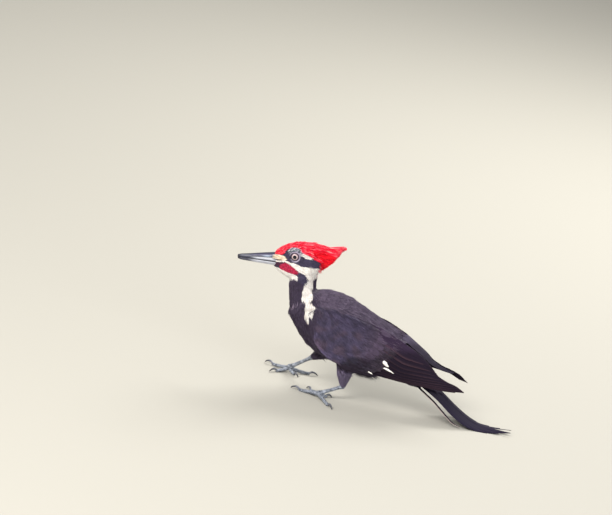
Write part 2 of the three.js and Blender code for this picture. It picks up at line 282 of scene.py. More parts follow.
def closed_mesh(name: str, points: Points, faces: list, leaf: Points) -> Mesh:
    """Makes a closed mesh.

    Args:
        name: its name.
        points: its vertices, in metres.
        faces: its faces.
        leaf: each vertex's place on the feather map.

    Returns:
        The mesh, smooth and facing outwards.
    """
    made = bpy.data.meshes.new(name)
    made.from_pydata(points.tolist(), [], faces)
    face_outward(made)
    set_map(made, LEAF_MAP, leaf[corners(made)])
    return smooth_shaded(made)


@dataclass
class Shell:
    """Closed surfaces gathered into one mesh, in drawing millimetres."""

    points: list = field(default_factory=list)
    faces: list = field(default_factory=list)
    leaf: list = field(default_factory=list)
    count: int = 0

    def loft(self, rings: Points, leaf: Points | None = None) -> None:
        """Adds a closed skin over rings of points.

        Args:
            rings: an array of rings by sides by 3.
            leaf: the same array's places on the feather map, rings by sides by 2.
        """
        length, sides = rings.shape[:2]
        start = self.count
        ends = np.stack([rings[0].mean(0), rings[-1].mean(0)])
        self.points.append(np.vstack([rings.reshape(-1, 3), ends]))
        here = leaf if leaf is not None else np.zeros((length, sides, 2))
        self.leaf.append(np.vstack([here.reshape(-1, 2), here[0].mean(0), here[-1].mean(0)]))
        grid = start + np.arange(length * sides).reshape(length, sides)
        onward = np.roll(grid, -1, axis=1).tolist()
        first, last = start + length * sides, start + length * sides + 1
        self.faces += quads(grid).tolist()
        self.faces += [[first, b, a] for a, b in zip(grid[0].tolist(), onward[0])]
        self.faces += [[last, a, b] for a, b in zip(grid[-1].tolist(), onward[-1])]
        self.count = last + 1

    def ring(self, rings: Points, leaf: Points) -> None:
        """Adds a closed band whose last section joins its first, given as sections by sides.

        Args:
            rings: its sections, by sides, by 3.
            leaf: their places on the feather map.
        """
        start = self.count
        grid = start + np.arange(rings.shape[0] * rings.shape[1]).reshape(rings.shape[:2])
        ahead, onward = np.roll(grid, -1, axis=0), np.roll(grid, -1, axis=1)
        self.points.append(rings.reshape(-1, 3))
        self.leaf.append(leaf.reshape(-1, 2))
        self.faces += np.stack([grid, onward, np.roll(ahead, -1, axis=1), ahead], -1).reshape(-1, 4).tolist()
        self.count += grid.size

    def mesh(self, name: str) -> Mesh:
        """Joins the surfaces.

        Args:
            name: the new mesh's name.

        Returns:
            One smooth mesh of them all, facing outwards, in model metres.
        """
        return closed_mesh(name, DRAWING.to_model(np.vstack(self.points)), self.faces, np.vstack(self.leaf))


def put(data: bpy.types.ID) -> Object:
    """A new object in the scene, at the origin, with its data's name."""
    made = bpy.data.objects.new(data.name, data)
    bpy.context.scene.collection.objects.link(made)
    return made


def claim(piece: Object, material: Material, nodes: tuple[str, ...] = ()) -> None:
    """Makes an object a piece of the bird, where it rides on the one body.

    Args:
        piece: the object.
        material: its finish.
        nodes: the solids that it stands for.
    """
    piece.data.materials.clear()
    piece.data.materials.append(material)
    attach(piece, BODY)
    if nodes:
        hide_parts(*nodes)
    LOG.info("%s: %d faces", piece.name, len(piece.data.polygons))


def finish_piece(mesh: Mesh, material: Material, nodes: tuple[str, ...] = ()) -> None:
    """Shows a mesh, in model metres and with the piece's name, as a piece of the bird."""
    claim(put(mesh), material, nodes)


def evaluated(obj: Object) -> Mesh:
    """A plain mesh of an object with its modifiers applied.

    Args:
        obj: the object.

    Returns:
        The new mesh, with all its attributes.
    """
    graph = bpy.context.evaluated_depsgraph_get()
    return bpy.data.meshes.new_from_object(
        obj.evaluated_get(graph), preserve_all_data_layers=True, depsgraph=graph
    )


def search_tree(mesh: Mesh) -> BVHTree:
    """A search tree over a mesh, in metres.

    Args:
        mesh: the mesh.

    Returns:
        The tree, for rays and nearest points.
    """
    mesh.calc_loop_triangles()
    return BVHTree.FromPolygons(
        [v.co[:] for v in mesh.vertices], [t.vertices[:] for t in mesh.loop_triangles]
    )


def distances(node: str, points: Points) -> Points:
    """How far each point lies from a solid's surface, in metres."""
    tree = search_tree(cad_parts[node].data)
    return np.array([tree.find_nearest(p)[3] for p in points.tolist()])


# ---- Node graphs ----


def socket(sockets: bpy.types.bpy_prop_collection, key: str | int) -> NodeSocket:
    """The socket with this identifier, else with this name or number.

    Args:
        sockets: a node's inputs or outputs.
        key: the identifier, name or number.

    Returns:
        The socket.
    """
    if isinstance(key, int):
        return sockets[key]
    for found in sockets:
        if found.identifier == key:
            return found
    return sockets[key]


class Graph:
    """A node tree that is built by one call for each node."""

    def __init__(self, tree: NodeTree) -> None:
        """Keeps the tree to build in."""
        self.tree = tree

    def node(self, kind: str, settings: dict | None = None, inputs: dict | None = None) -> Node:
        """Adds a node.

        Args:
            kind: the node's type.
            settings: its properties.
            inputs: a number, colour, socket or term for each named socket.

        Returns:
            The new node.
        """
        made = self.tree.nodes.new(kind)
        for key, value in (settings or {}).items():
            setattr(made, key, value)
        for key, value in (inputs or {}).items():
            here = socket(made.inputs, key)
            value = value.socket if isinstance(value, Term) else value
            if isinstance(value, NodeSocket):
                self.tree.links.new(value, here)
            else:
                here.default_value = value
        return made

    def first(self, kind: str, settings: dict | None = None, inputs: dict | None = None) -> NodeSocket:
        """A new node's first output."""
        return self.node(kind, settings, inputs).outputs[0]

    def term(self, source: NodeSocket) -> "Term":
        """A socket that can be used in sums."""
        return Term(self, source)

    def combine(self, *parts: "Term | float") -> NodeSocket:
        """A vector of up to three numbers."""
        return self.first("ShaderNodeCombineXYZ", None, dict(enumerate(parts)))

    def parts(self, vector: NodeSocket) -> "list[Term]":
        """A vector's three numbers."""
        return [self.term(part) for part in self.node("ShaderNodeSeparateXYZ", None, {0: vector}).outputs]


@dataclass
class Term:
    """A number in a node graph, with the usual arithmetic."""

    graph: Graph
    socket: NodeSocket

    def math(self, operation: str, *others: "Term | float") -> "Term":
        """The result of a Math node's operation on this number and others."""
        return self.ordered(operation, self, *others)

    def ordered(self, operation: str, *inputs: "Term | float") -> "Term":
        """The operation on its inputs in the order given."""
        out = self.graph.first("ShaderNodeMath", {"operation": operation}, dict(enumerate(inputs)))
        return self.graph.term(out)

    def __add__(self, other: "Term | float") -> "Term":
        """The sum."""
        return self.math("ADD", other)

    __radd__ = __add__

    def __mul__(self, other: "Term | float") -> "Term":
        """The product."""
        return self.math("MULTIPLY", other)

    __rmul__ = __mul__

    def __sub__(self, other: "Term | float") -> "Term":
        """The difference."""
        return self.math("SUBTRACT", other)

    def __rsub__(self, other: float) -> "Term":
        """The difference from a plain number."""
        return self.ordered("SUBTRACT", other, self)

    def __pow__(self, other: "Term | float") -> "Term":
        """The power."""
        return self.math("POWER", other)

    def __abs__(self) -> "Term":
        """The size."""
        return self.math("ABSOLUTE")

    def step(self, low: float, high: float) -> "Term":
        """0 up to low and 1 from high, with an easy slope between."""
        inputs = {"Value": self, "From Min": low, "From Max": high}
        settings = {"interpolation_type": "SMOOTHSTEP"}
        return self.graph.term(self.graph.first("ShaderNodeMapRange", settings, inputs))


# ---- Finishes ----


@dataclass
class Surface:
    """A material being built: its graph, its shader and the places that it reads."""

    name: str

    def __post_init__(self) -> None:
        """Starts the material."""
        self.material = bpy.data.materials.new(self.name)
        self.material.use_nodes = True
        self.graph = Graph(self.material.node_tree)
        self.shader = self.material.node_tree.nodes["Principled BSDF"]
        self.place = self.graph.node("ShaderNodeTexCoord").outputs["Object"]

    def leaf(self) -> tuple[Term, Term]:
        """Where a point lies on its own feather: across it, and along it."""
        place = self.graph.first("ShaderNodeUVMap", {"uv_map": LEAF_MAP})
        across, along, _ = self.graph.parts(place)
        return across, along

    def noise(self, scale: float, detail: float = 3.0, stretch: Triple = (1, 1, 1)) -> Term:
        """Cloudy noise over the piece.

        Args:
            scale: how many clouds to a metre.
            detail: how finely they are broken up.
            stretch: how much closer they lie along each axis.

        Returns:
            A number from 0 to 1.
        """
        where = self.graph.first("ShaderNodeMapping", None, {"Vector": self.place, "Scale": stretch})
        inputs = {"Vector": where, "Scale": scale, "Detail": detail}
        return self.graph.term(self.graph.first("ShaderNodeTexNoise", None, inputs))

    def tinted(self, by: Term) -> NodeSocket:
        """The colour painted on the vertices, made lighter or darker by a number."""
        tint = self.graph.node("ShaderNodeAttribute", {"attribute_name": TINT}).outputs["Color"]
        return self.graph.first("ShaderNodeVectorMath", {"operation": "SCALE"}, {0: tint, "Scale": by})

    def blend(self, factor: Term, low: object, high: object) -> NodeSocket:
        """A colour between two, each a socket or a linear colour.

        Args:
            factor: 0 for the first and 1 for the second.
            low: the first colour.
            high: the second.

        Returns:
            The blended colour.
        """
        low, high = ((*c, 1.0) if isinstance(c, tuple) else c for c in (low, high))
        inputs = {"Factor_Float": factor, "A_Color": low, "B_Color": high}
        node = self.graph.node("ShaderNodeMix", {"data_type": "RGBA"}, inputs)
        return socket(node.outputs, "Result_Color")

    def finish(
        self, colour: NodeSocket, roughness: Term, height: Term | None = None, depth: float = 0.0,
        **fixed: object,
    ) -> Material:
        """Connects the material's patterns.

        Args:
            colour: the base colour.
            roughness: how rough it is, from 0 to 1.
            height: its relief, from 0 to 1.
            depth: how deep the relief is, in metres.
            fixed: other settings of the shader, the same all over.

        Returns:
            The finished material.
        """
        links = self.material.node_tree.links
        links.new(colour, self.shader.inputs["Base Color"])
        links.new(roughness.socket, self.shader.inputs["Roughness"])
        if height is not None:
            inputs = {"Height": height, "Distance": depth, "Strength": 1.0}
            links.new(self.graph.first("ShaderNodeBump", None, inputs), self.shader.inputs["Normal"])
        for key, value in fixed.items():
            self.shader.inputs[key.replace("_", " ")].default_value = value
        return self.material


@dataclass(frozen=True)
class PlumageFinish:
    """Feathers: painted, with barbs that slant off a fine shaft, and soft streaks along them."""

    name: str
    gloss: float = 0.5
    root_shade: float = 0.84
    tip_light: float = 1.12
    barbs: float = 46.0
    slant: float = 1.1
    relief: float = 0.00008
    sheen: float = 0.1
    specular: float = 0.28

    def make(self) -> Material:
        """Makes the plumage material.

        Returns:
            The finished material.
        """
        surface = Surface(self.name)
        graph = surface.graph
        across, along = surface.leaf()
        off_shaft = abs(across - 0.5)
        barb = ((along * 2.2 - off_shaft * self.slant) * (self.barbs * math.pi)).math("SINE") * 0.5 + 0.5
        shaft = 1 - off_shaft.step(0.012, 0.05)
        cloud = surface.noise(420, 4.0)
        inputs = {"Vector": graph.combine(across * 9, along * 2.5, cloud * 6), "Scale": 1.0, "Detail": 3.0}
        streak = graph.term(graph.first("ShaderNodeTexNoise", None, inputs))
        shade = (along * (self.tip_light - self.root_shade) + self.root_shade) * (cloud * 0.5 + 0.75)
        shade = shade * (barb * 0.1 + 0.95) * (shaft * -0.16 + 1) * (streak * 0.7 + 0.65)
        rough = cloud * 0.16 + self.gloss + barb * 0.06
        return surface.finish(
            surface.tinted(shade), rough, barb * 0.5 + shaft * 0.5, self.relief,
            Sheen_Weight=self.sheen, Sheen_Roughness=0.4, Sheen_Tint=(0.62, 0.55, 0.9, 1),
            Specular_IOR_Level=self.specular,
        )


@dataclass(frozen=True)
class SkinFinish:
    """Bare skin under the coat, in the same markings, darkened in clouds as painted shade under the feathers,
    with fine pits.
    """

    name: str = "skin_under_coat"

    def make(self) -> Material:
        """Makes the skin material.

        Returns:
            The finished material.
        """
        surface = Surface(self.name)
        pits = surface.noise(1500, 2.0)
        shade = surface.noise(260, 3.0) * 0.4 + 0.5
        return surface.finish(surface.tinted(shade), pits * 0.2 + 0.6, pits, 0.0003)


@dataclass(frozen=True)
class HornFinish:
    """Bill horn: painted, with long fibres, growth lines and worn patches."""

    name: str
    gloss: float = 0.3
    fibres: float = 900.0

    def make(self) -> Material:
        """Makes the horn material.

        Returns:
            The finished material.
        """
        surface = Surface(self.name)
        fibre = surface.noise(self.fibres, 4.0, (0.12, 1.0, 1.0))
        worn = surface.noise(240, 3.0, (0.5, 1.0, 1.0))
        shade = fibre * 0.55 + worn * 0.35 + 0.55
        rough = fibre * 0.25 + worn * 0.15 + self.gloss - 0.1
        return surface.finish(
            surface.tinted(shade), rough, fibre, 0.00012, Coat_Weight=0.12,
            Coat_Roughness=0.3,
        )


@dataclass(frozen=True)
class ScuteFinish:
    """Scaly foot skin: small plates with painted shade in their grooves and under each plate's lip, and pale
    ridges with painted highlights, mottled.
    """

    name: str = "scaly_foot_skin"
    plates: float = 7.0  # round the limb; its own map counts those along it
    # the ridges' pale colour carries a painted highlight; the hollow colour is painted shade in the grooves
    ridge: Triple = srgb(190, 197, 210)
    hollow: Triple = srgb(38, 44, 60)

    def make(self) -> Material:
        """Makes the foot material.

        Returns:
            The finished material.
        """
        surface = Surface(self.name)
        across, along = surface.leaf()
        where = surface.graph.combine(across * self.plates, along)
        inputs = {"Vector": where, "Scale": 1.0, "Randomness": 0.6}
        cells = surface.graph.first("ShaderNodeTexVoronoi", {"feature": "DISTANCE_TO_EDGE"}, inputs)
        plate = surface.graph.term(cells).step(0.0, 0.2)
        band = along.math("FRACT").step(0.0, 0.18)
        mottle = surface.noise(420, 4.0)
        worn = surface.noise(150, 2.0)
        # plate edges and plate lips take painted shade; the mottle blends towards the highlight colour
        pattern = plate * 0.36 + band * 0.2 + mottle * 1.0 + worn * 0.9 - 0.98
        tone = surface.blend(pattern, self.hollow, self.ridge)
        return surface.finish(tone, mottle * 0.3 + 0.36, plate * 0.6 + band * 0.4, 0.0003)


@dataclass(frozen=True)
class ClawFinish:
    """Claw horn: dark, paler at the root, with faint lines along it."""

    name: str = "claw_horn"
    dark: Triple = srgb(34, 34, 42)
    pale: Triple = srgb(112, 114, 124)

    def make(self) -> Material:
        """Makes the claw material.

        Returns:
            The finished material.
        """
        surface = Surface(self.name)
        _, along = surface.leaf()
        lines = surface.noise(1400, 3.0)
        tone = surface.blend(along.step(0.0, 0.7) * 0.8 + lines * 0.2, self.pale, self.dark)
        return surface.finish(tone, lines * 0.2 + 0.22, lines, 0.00008, Coat_Weight=0.2)


@dataclass(frozen=True)
class EyeFinish:
    """A wet eye: dark pupil, pale rosy iris with fine spokes, and a dark rim."""

    name: str = "wet_eye"
    pupil: float = 2.55
    iris: float = 4.25
    dark: Triple = srgb(6, 8, 26)
    inner: Triple = srgb(212, 188, 180)
    outer: Triple = srgb(134, 112, 130)

    def make(self) -> Material:
        """Makes the eye material.

        Returns:
            The finished material.
        """
        surface = Surface(self.name)
        centre = DRAWING.to_model(Drawing.BALL)
        along, _, up = surface.graph.parts(surface.place)
        along, up = (along - float(centre[0])) * 1000, (up - float(centre[2])) * 1000
        reach = (along * along + up * up).math("SQRT")
        spokes = (up.math("ARCTAN2", along) * 34).math("SINE") * 0.5 + 0.5
        grain = surface.noise(1800, 3.0)
        pattern = reach.step(self.pupil, self.iris) * 0.8 + spokes * 0.1 + grain * 0.2 - 0.1
        iris = surface.blend(pattern, self.inner, self.outer)
        opened = reach.step(self.pupil - 0.15, self.pupil + 0.15)
        seen = surface.blend(opened - reach.step(self.iris - 0.2, self.iris + 0.25), self.dark, iris)
        return surface.finish(
            seen, grain * 0.02 + 0.04, None, 0, Coat_Weight=0.35, Coat_Roughness=0.03,
            Specular_IOR_Level=0.2,
        )


@dataclass(frozen=True)
class LidFinish:
    """Bare skin round the eye: a dark inner rim, then pale lavender with fine creases that carry painted
    shade.
    """

    name: str = "eyelid_skin"
    pale: Triple = srgb(156, 147, 168)
    dark: Triple = srgb(62, 44, 60)

    def make(self) -> Material:
        """Makes the eyelid material.

        Returns:
            The finished material.
        """
        surface = Surface(self.name)
        across, along = surface.leaf()
        crease = ((along * 190).math("SINE") * 0.5 + 0.5) * 0.4 + surface.noise(1600, 3.0) * 0.6
        ring = across.step(0.4, 0.56) - across.step(0.9, 1.0) * 0.6
        # the creases also darken the colour: painted shade in them
        tone = surface.blend(ring * (crease * 0.7 + 0.5), self.dark, self.pale)
        return surface.finish(tone, crease * 0.3 + 0.35, crease, 0.00015)


@dataclass(frozen=True)
class FloorFinish:
    """A plain pale studio floor."""

    name: str = "studio_floor"
    tone: Triple = srgb(172, 169, 160)

    def make(self) -> Material:
        """Makes the floor material.

        Returns:
            The finished material.
        """
        surface = Surface(self.name)
        grain = surface.noise(60, 2.0)
        tone = surface.blend(grain * 0.1 + 0.45, tuple(c * 0.96 for c in self.tone), self.tone)
        return surface.finish(tone, grain * 0.05 + 0.8)


# ---- Markings ----


def side_view(points: Points) -> Points:
    """Where points stand in the markings' view, from the bird's side and a little above.

    Args:
        points: places in drawing millimetres, on either side of the bird.

    Returns:
        Their distance along and their height, the same for both sides.
    """
    aside = np.abs(points[:, 1])
    return np.column_stack([points[:, 0] - 0.105 * aside, points[:, 2] - 0.323 * aside])


def inside(outline: Points, points: Points) -> Points:
    """How deep each point lies in a closed outline.

    Args:
        outline: its corners.
        points: the points to test.

    Returns:
        The distance to the edge, positive inside and negative outside.
    """
    start, end = outline, np.roll(outline, -1, axis=0)
    along = end - start
    length = np.maximum((along**2).sum(1), 1e-9)
    away = points[:, None] - start[None]
    t = np.clip((away * along).sum(2) / length, 0, 1)
    gap = np.sqrt(((away - t[..., None] * along) ** 2).sum(2)).min(1)
    low, high = start[None, :, 1] > points[:, None, 1], end[None, :, 1] > points[:, None, 1]
    rise = np.where(np.abs(along[:, 1]) < 1e-9, 1e-9, along[:, 1])
    cross = start[None, :, 0] + (points[:, None, 1] - start[None, :, 1]) * along[:, 0] / rise
    crossings = ((low != high) & (points[:, None, 0] < cross)).sum(1)
    return np.where(crossings % 2 == 1, gap, -gap)


def another(dice: Points, turns: float = 7919.0) -> Points:
    """A further chance for each feather, worked out from its first."""
    return (dice * turns) % 1.0


@dataclass(frozen=True)
class Tone:
    """A colour of plumage: its own shades on a screen, and how many feathers have each."""

    shades: tuple
    shares: tuple
    vary: float = 0.12

    def pick(self, dice: Points, again: Points) -> Points:
        """Colours feathers.

        Args:
            dice: a chance from 0 to 1 for each feather.
            again: a second one.

        Returns:
            A colour for each feather.
        """
        edges = np.cumsum(self.shares) / np.sum(self.shares)
        which = np.minimum(np.searchsorted(edges, dice), len(self.shades) - 1)
        shades = np.array([srgb(*shade) for shade in self.shades])
        return shades[which] * (1 + self.vary * (again - 0.5) * 2)[:, None]


BLACK = Tone(((60, 49, 69), (67, 55, 76), (54, 44, 62)), (5, 3, 3))
JET = Tone(((64, 58, 82), (73, 66, 91)), (3, 1))
BROWN_BLACK = Tone(((76, 62, 78), (84, 68, 84)), (3, 1), 0.1)
BLUE_BLACK = Tone(((70, 62, 87), (78, 69, 95), (63, 56, 79)), (4, 3, 3))
# scarlet, with pale pink feathers mixed in as painted highlights
SCARLET_AND_HIGHLIGHTS = Tone(
    ((255, 36, 66), (240, 24, 58), (255, 112, 126), (200, 20, 54), (252, 176, 178)),
    (11, 6, 6, 1, 1), 0.08,
)
DARK_RED = Tone(((248, 8, 36), (214, 4, 32), (255, 40, 50)), (5, 3, 3), 0.1)
CRIMSON = Tone(((190, 28, 72), (164, 20, 56), (222, 60, 96)), (5, 3, 2))
WHITE = Tone(((246, 240, 234), (234, 224, 216), (252, 250, 244)), (4, 2, 3), 0.05)
CREAM = Tone(((250, 234, 208), (236, 206, 164), (252, 246, 234)), (4, 3, 4), 0.06)
GREY = Tone(((124, 124, 142), (176, 176, 190), (70, 70, 88)), (3, 4, 2))
MAROON = Tone(((58, 34, 56), (88, 30, 58)), (2, 1))
# painted light: a lighter black for the back, as where light from above falls on it
LIT_MANTLE = Tone(((91, 79, 99), (99, 86, 107), (83, 72, 91)), (4, 3, 3), 0.1)
# painted light: a lighter black for the thighs, which lie in shade under the belly
LIT_THIGH = Tone(((112, 101, 127), (122, 110, 137), (100, 90, 114)), (4, 3, 3), 0.1)
# a painted highlight's colour
RIM_HIGHLIGHT = Tone(((150, 134, 156), (124, 108, 130)), (2, 1), 0.1)
SPECKLED = Tone(
    ((34, 36, 48), (232, 230, 236), (128, 148, 150), (196, 184, 206)), (5, 4, 4, 3)
)


@dataclass(frozen=True)
class Marking:
    """A patch of colour, by its outline in the side view."""

    tone: Tone
    soft: float
    outline: tuple


class Markings:
    """All that is not plain black on the bird, painted in order: its markings, pink painted highlights in the
    red, and painted light on the back, the thighs and the rim of the breast.
    """

    EYE = (-64.8, 173.7)  # its middle in the side view
    CAP = Marking(SCARLET_AND_HIGHLIGHTS, 0.3, (
        (-98, 171.2), (-91, 169.8), (-85, 170.6), (-81, 172), (-78.6, 175), (-77.4, 179.5), (-73, 182.8),
        (-66, 184.8), (-60, 185.2), (-56, 182.2), (-52, 179.2), (-48, 178.2), (-44, 177.5), (-40, 175.6),
        (-35, 173.7), (-31, 171.4), (-29.8, 168), (-29.2, 160), (-28.5, 152), (-20, 145), (30, 180),
        (30, 230), (-100, 230),
    ))
    PATCHES = (
        # painted light on the back and mantle, lighter than the black they are
        Marking(LIT_MANTLE, 4.0, (
            (-26, 122), (-20, 145), (30, 150), (90, 125), (150, 90), (150, 60), (110, 78), (60, 104),
            (20, 112), (-14, 106),
        )),
        # painted light on the thighs
        Marking(LIT_THIGH, 2.0, ((14, 33), (46, 33), (42, 10), (26, 4), (14, 18))),
        # a painted highlight along the upper rim of the breast's side
        Marking(RIM_HIGHLIGHT, 0.25, (
            (-57.9, 97.6), (-56.9, 101.8), (-53.2, 105.8), (-48.5, 108.1), (-43.5, 108.6), (-43.2, 107.2),
            (-47.9, 106.8), (-52, 104.4), (-54.8, 101), (-55.9, 96.9),
        )),
        # the white stripe down the neck, with its ragged foot
        Marking(WHITE, 0.4, (
            (-46, 150), (-41.5, 145), (-44, 140), (-45.2, 134), (-46.3, 127), (-45.5, 119), (-44.5, 114),
            (-42, 111), (-40, 109.5), (-38, 107), (-38.8, 104), (-37.4, 98), (-36.6, 92), (-33.8, 89.5),
            (-30, 84.5), (-30, 91), (-31.5, 96), (-29.5, 96), (-27.5, 93), (-26.5, 100), (-25, 105),
            (-24.5, 110.5), (-29, 112), (-33.6, 114), (-31.5, 118), (-30.5, 124), (-33.5, 129),
            (-33.5, 136), (-35.5, 144), (-33, 149),
        )),
        # the white side of the face, from the gape to the nape
        Marking(WHITE, 0.4, (
            (-85, 163.8), (-76, 164.8), (-70, 163.4), (-60, 163), (-55, 161.5), (-50, 161), (-40, 163),
            (-31.5, 164.8), (-27.5, 163.5), (-28.5, 155), (-31.5, 149), (-36, 147.5), (-42, 145.8),
            (-47, 149), (-50, 151.2), (-56, 153), (-61, 155.4), (-66, 158.2), (-71, 160.8), (-77, 162.5),
        )),
        # the white chin
        Marking(WHITE, 0.4, (
            (-96, 153.5), (-80, 151.6), (-72, 149.8), (-66, 148.6), (-58, 147.9), (-54.8, 144.5),
            (-54.5, 140.8), (-60, 139.4), (-68, 139.2), (-74, 134), (-96, 140),
        )),
        # the red stripe back from the gape
        Marking(CRIMSON, 0.35, (
            (-83, 154.6), (-80, 159), (-76, 161.4), (-71.5, 160.4), (-65, 157.6), (-60, 154.8),
            (-55.6, 152.4), (-55.5, 150.2), (-60, 148.4), (-66, 148.5), (-73, 149.4), (-80, 151.2),
        )),
        Marking(JET, 0.4, (
            (-55.8, 152.2), (-48, 151.3), (-45.5, 148.8), (-41.2, 146), (-42, 140), (-46, 136), (-54, 138),
            (-54.5, 144.6), (-57, 148.4),
        )),
        Marking(MAROON, 0.3, (
            (-93, 157.8), (-84, 160.4), (-77, 162), (-75, 161), (-80, 158.6), (-84, 155.2), (-92, 153.6),
        )),
        # the pale line of the mouth
        Marking(WHITE, 0.2, (
            (-93, 160.6), (-86.5, 162.3), (-76.5, 164.4), (-76.5, 162), (-86.5, 160.3), (-93, 158.6),
        )),
        # the band through the eye to the ear
        Marking(JET, 0.35, (
            (-80, 171.5), (-76.5, 166.8), (-72, 164.6), (-66, 163.8), (-60, 163.2), (-55, 161.4),
            (-50, 161), (-46, 162.6), (-40, 163), (-34, 163), (-30.6, 165), (-29.8, 170.5), (-33, 172.4),
            (-40, 174.6), (-44, 173.2), (-50, 173), (-56, 173.8), (-57, 179), (-60, 182.5), (-66, 184),
            (-73, 182), (-77.5, 178.5),
        )),
        # the pale brow behind the eye, grey in front
        Marking(GREY, 0.5, (
            (-66, 184), (-60, 184.5), (-56, 181.6), (-52, 178.9), (-53, 174.2), (-57.5, 174.8), (-58, 178),
        )),
        Marking(WHITE, 0.35, (
            (-59, 179.8), (-55, 179.3), (-48, 178), (-43, 176.8), (-39.5, 175), (-44, 173.2), (-50, 173.2),
            (-55.5, 174.8),
        )),
        # the scarlet cap and crest, with pink painted highlights mixed in
        CAP,
        Marking(DARK_RED, 3.0, (
            (-46, 183), (-40, 180), (-34, 176), (-29, 170), (-29, 152), (-20, 150), (-12, 172), (-8, 184),
            (-20, 188), (-34, 188),
        )),
        # the bristles over the nostril
        Marking(CREAM, 0.35, (
            (-96, 169), (-90, 170), (-83, 170.4), (-78.5, 169.6), (-74.5, 166.6), (-76, 164), (-86, 163),
            (-96, 164),
        )),
    )

    def paint(self, points: Points, dice: Points) -> Points:
        """Colours feathers or skin by place.

        Args:
            points: their places in drawing millimetres.
            dice: a chance from 0 to 1 for each.

        Returns:
            A linear colour for each.
        """
        seen = side_view(points)
        again, edge = another(dice), another(dice, 3571.0)
        colour = BLACK.pick(dice, again)
        for patch in self.PATCHES:
            outline = np.array(patch.outline, float)
            low, high = outline.min(0) - 4, outline.max(0) + 4
            near = np.flatnonzero(((seen > low) & (seen < high)).all(1))
            if len(near) == 0:
                continue
            deep = inside(outline, seen[near]) + (edge[near] - 0.5) * patch.soft * 2
            mine = near[deep > 0]
            colour[mine] = patch.tone.pick(dice[mine], again[mine])
        aside, up = (seen - self.EYE).T
        reach, angle = np.hypot(aside, up), np.degrees(np.arctan2(up, aside))
        ringed = (reach > 6.4) & (reach < 12) & (angle > 20) & (angle < 165) & (seen[:, 1] < 185.2)
        colour[ringed] = SPECKLED.pick(dice, again)[ringed]
        return colour


MARKINGS = Markings()


# ---- The lie of the coat ----


@dataclass(frozen=True)
class Lie:
    """How feathers lie, by samples: place along and up, heading in degrees, and length."""

    samples: tuple
    power: float = 3.0

    def at(self, points: Points) -> tuple[Points, Points]:
        """Reads the lie.

        Args:
            points: places in drawing millimetres.

        Returns:
            The heading there as a vector in the bird's upright plane, and the length.
        """
        table = np.array(self.samples, float)
        gap = np.linalg.norm(points[:, None, [0, 2]] - table[None, :, :2], axis=2)
        weight = 1 / np.maximum(gap, 1.5) ** self.power
        weight /= weight.sum(1, keepdims=True)
        turn = np.radians(table[:, 2])
        heading = np.stack([np.cos(turn), np.zeros(len(turn)), np.sin(turn)], 1)
        return unit(weight @ heading), weight @ table[:, 3]


BODY_LIE = Lie((
    # head
    (-94, 172, 30, 2.6), (-88, 166, 12, 2.2), (-86, 155, -12, 2.4), (-82, 186, 38, 4.5), (-70, 193, 18, 7),
    (-56, 197, 6, 10), (-76, 178, 25, 2.8), (-64, 187, 14, 5), (-52, 185, 4, 6.5), (-52, 176, -4, 3.6),
    (-55, 167, -6, 3.2), (-70, 160, -14, 2.8), (-75, 149, -18, 3), (-62, 141, -45, 4), (-50, 155, -22, 3.6),
    (-38, 162, -30, 4.5), (-36, 172, -14, 6), (-32, 150, -72, 5),
    # crest
    (-42, 196, 2, 15), (-30, 196, 6, 16), (-16, 199, 12, 13), (-36, 184, -6, 14), (-24, 184, -2, 13),
    (-28, 168, -34, 11), (-18, 177, -18, 11), (-8, 192, 8, 11),
    # neck
    (-48, 140, -84, 5), (-38, 130, -82, 6), (-62, 125, -86, 5.5), (-29, 136, -66, 6), (-45, 115, -80, 7),
    (-58, 108, -76, 7), (-26, 120, -62, 7),
    # breast and belly
    (-55, 96, -62, 7.5), (-42, 78, -52, 8.5), (-30, 65, -42, 9), (-35, 95, -66, 8), (-10, 52, -24, 10),
    (15, 45, -12, 10), (45, 37, -6, 11), (75, 40, 0, 13), (110, 37, -2, 12), (130, 36, -4, 11),
    # back
    (-18, 134, -24, 8), (0, 138, -14, 10), (24, 131, -20, 11), (50, 121, -25, 12), (75, 108, -29, 13),
    (98, 92, -36, 12), (118, 74, -38, 11), (130, 58, -32, 11), (0, 110, -36, 9), (40, 95, -26, 11),
    (90, 65, -24, 13),
))

WING_LIE = Lie((
    (-30, 108, -62, 4), (-27, 96, -66, 4.5), (-18, 80, -56, 5), (-6, 66, -42, 5.5), (10, 58, -20, 6.5),
    (30, 54, -8, 8), (55, 52, -3, 9), (-14, 112, -46, 5.5), (0, 92, -42, 6.5), (20, 76, -26, 8),
    (45, 68, -14, 9.5), (14, 112, -30, 8), (36, 96, -24, 9.5), (62, 84, -19, 11), (80, 66, -11, 12),
    (54, 110, -24, 11), (84, 96, -24, 14),
))

BRISTLE_LIE = Lie((
    (-84, 168, 192, 9), (-78, 167, 190, 9), (-90, 168, 194, 7), (-84, 165, 187, 9), (-76, 166, 176, 8),
))

NASAL = np.array([
    (-87, 164.2), (-90, 169.6), (-84, 171), (-78.5, 170.6), (-75, 167.6), (-75.5, 165), (-80, 163.9),
])

CREST_OUTLINE = np.array([
    (-57.5, 193.5), (-47, 196.6), (-35, 197), (-26, 197.2), (-15, 199.6), (-9, 200.8), (-4, 201.2),
    (-5.5, 195.5), (-8, 190.5), (-11, 184), (-15, 176), (-20, 169), (-25, 161), (-28.5, 155), (-34, 160),
    (-57.5, 180),
])


# ---- Feathers ----


class VaneKind(Enum):
    """The shapes that small feathers come in."""

    BARB = "barb"
    PLUME = "plume"
    LOCK = "lock"


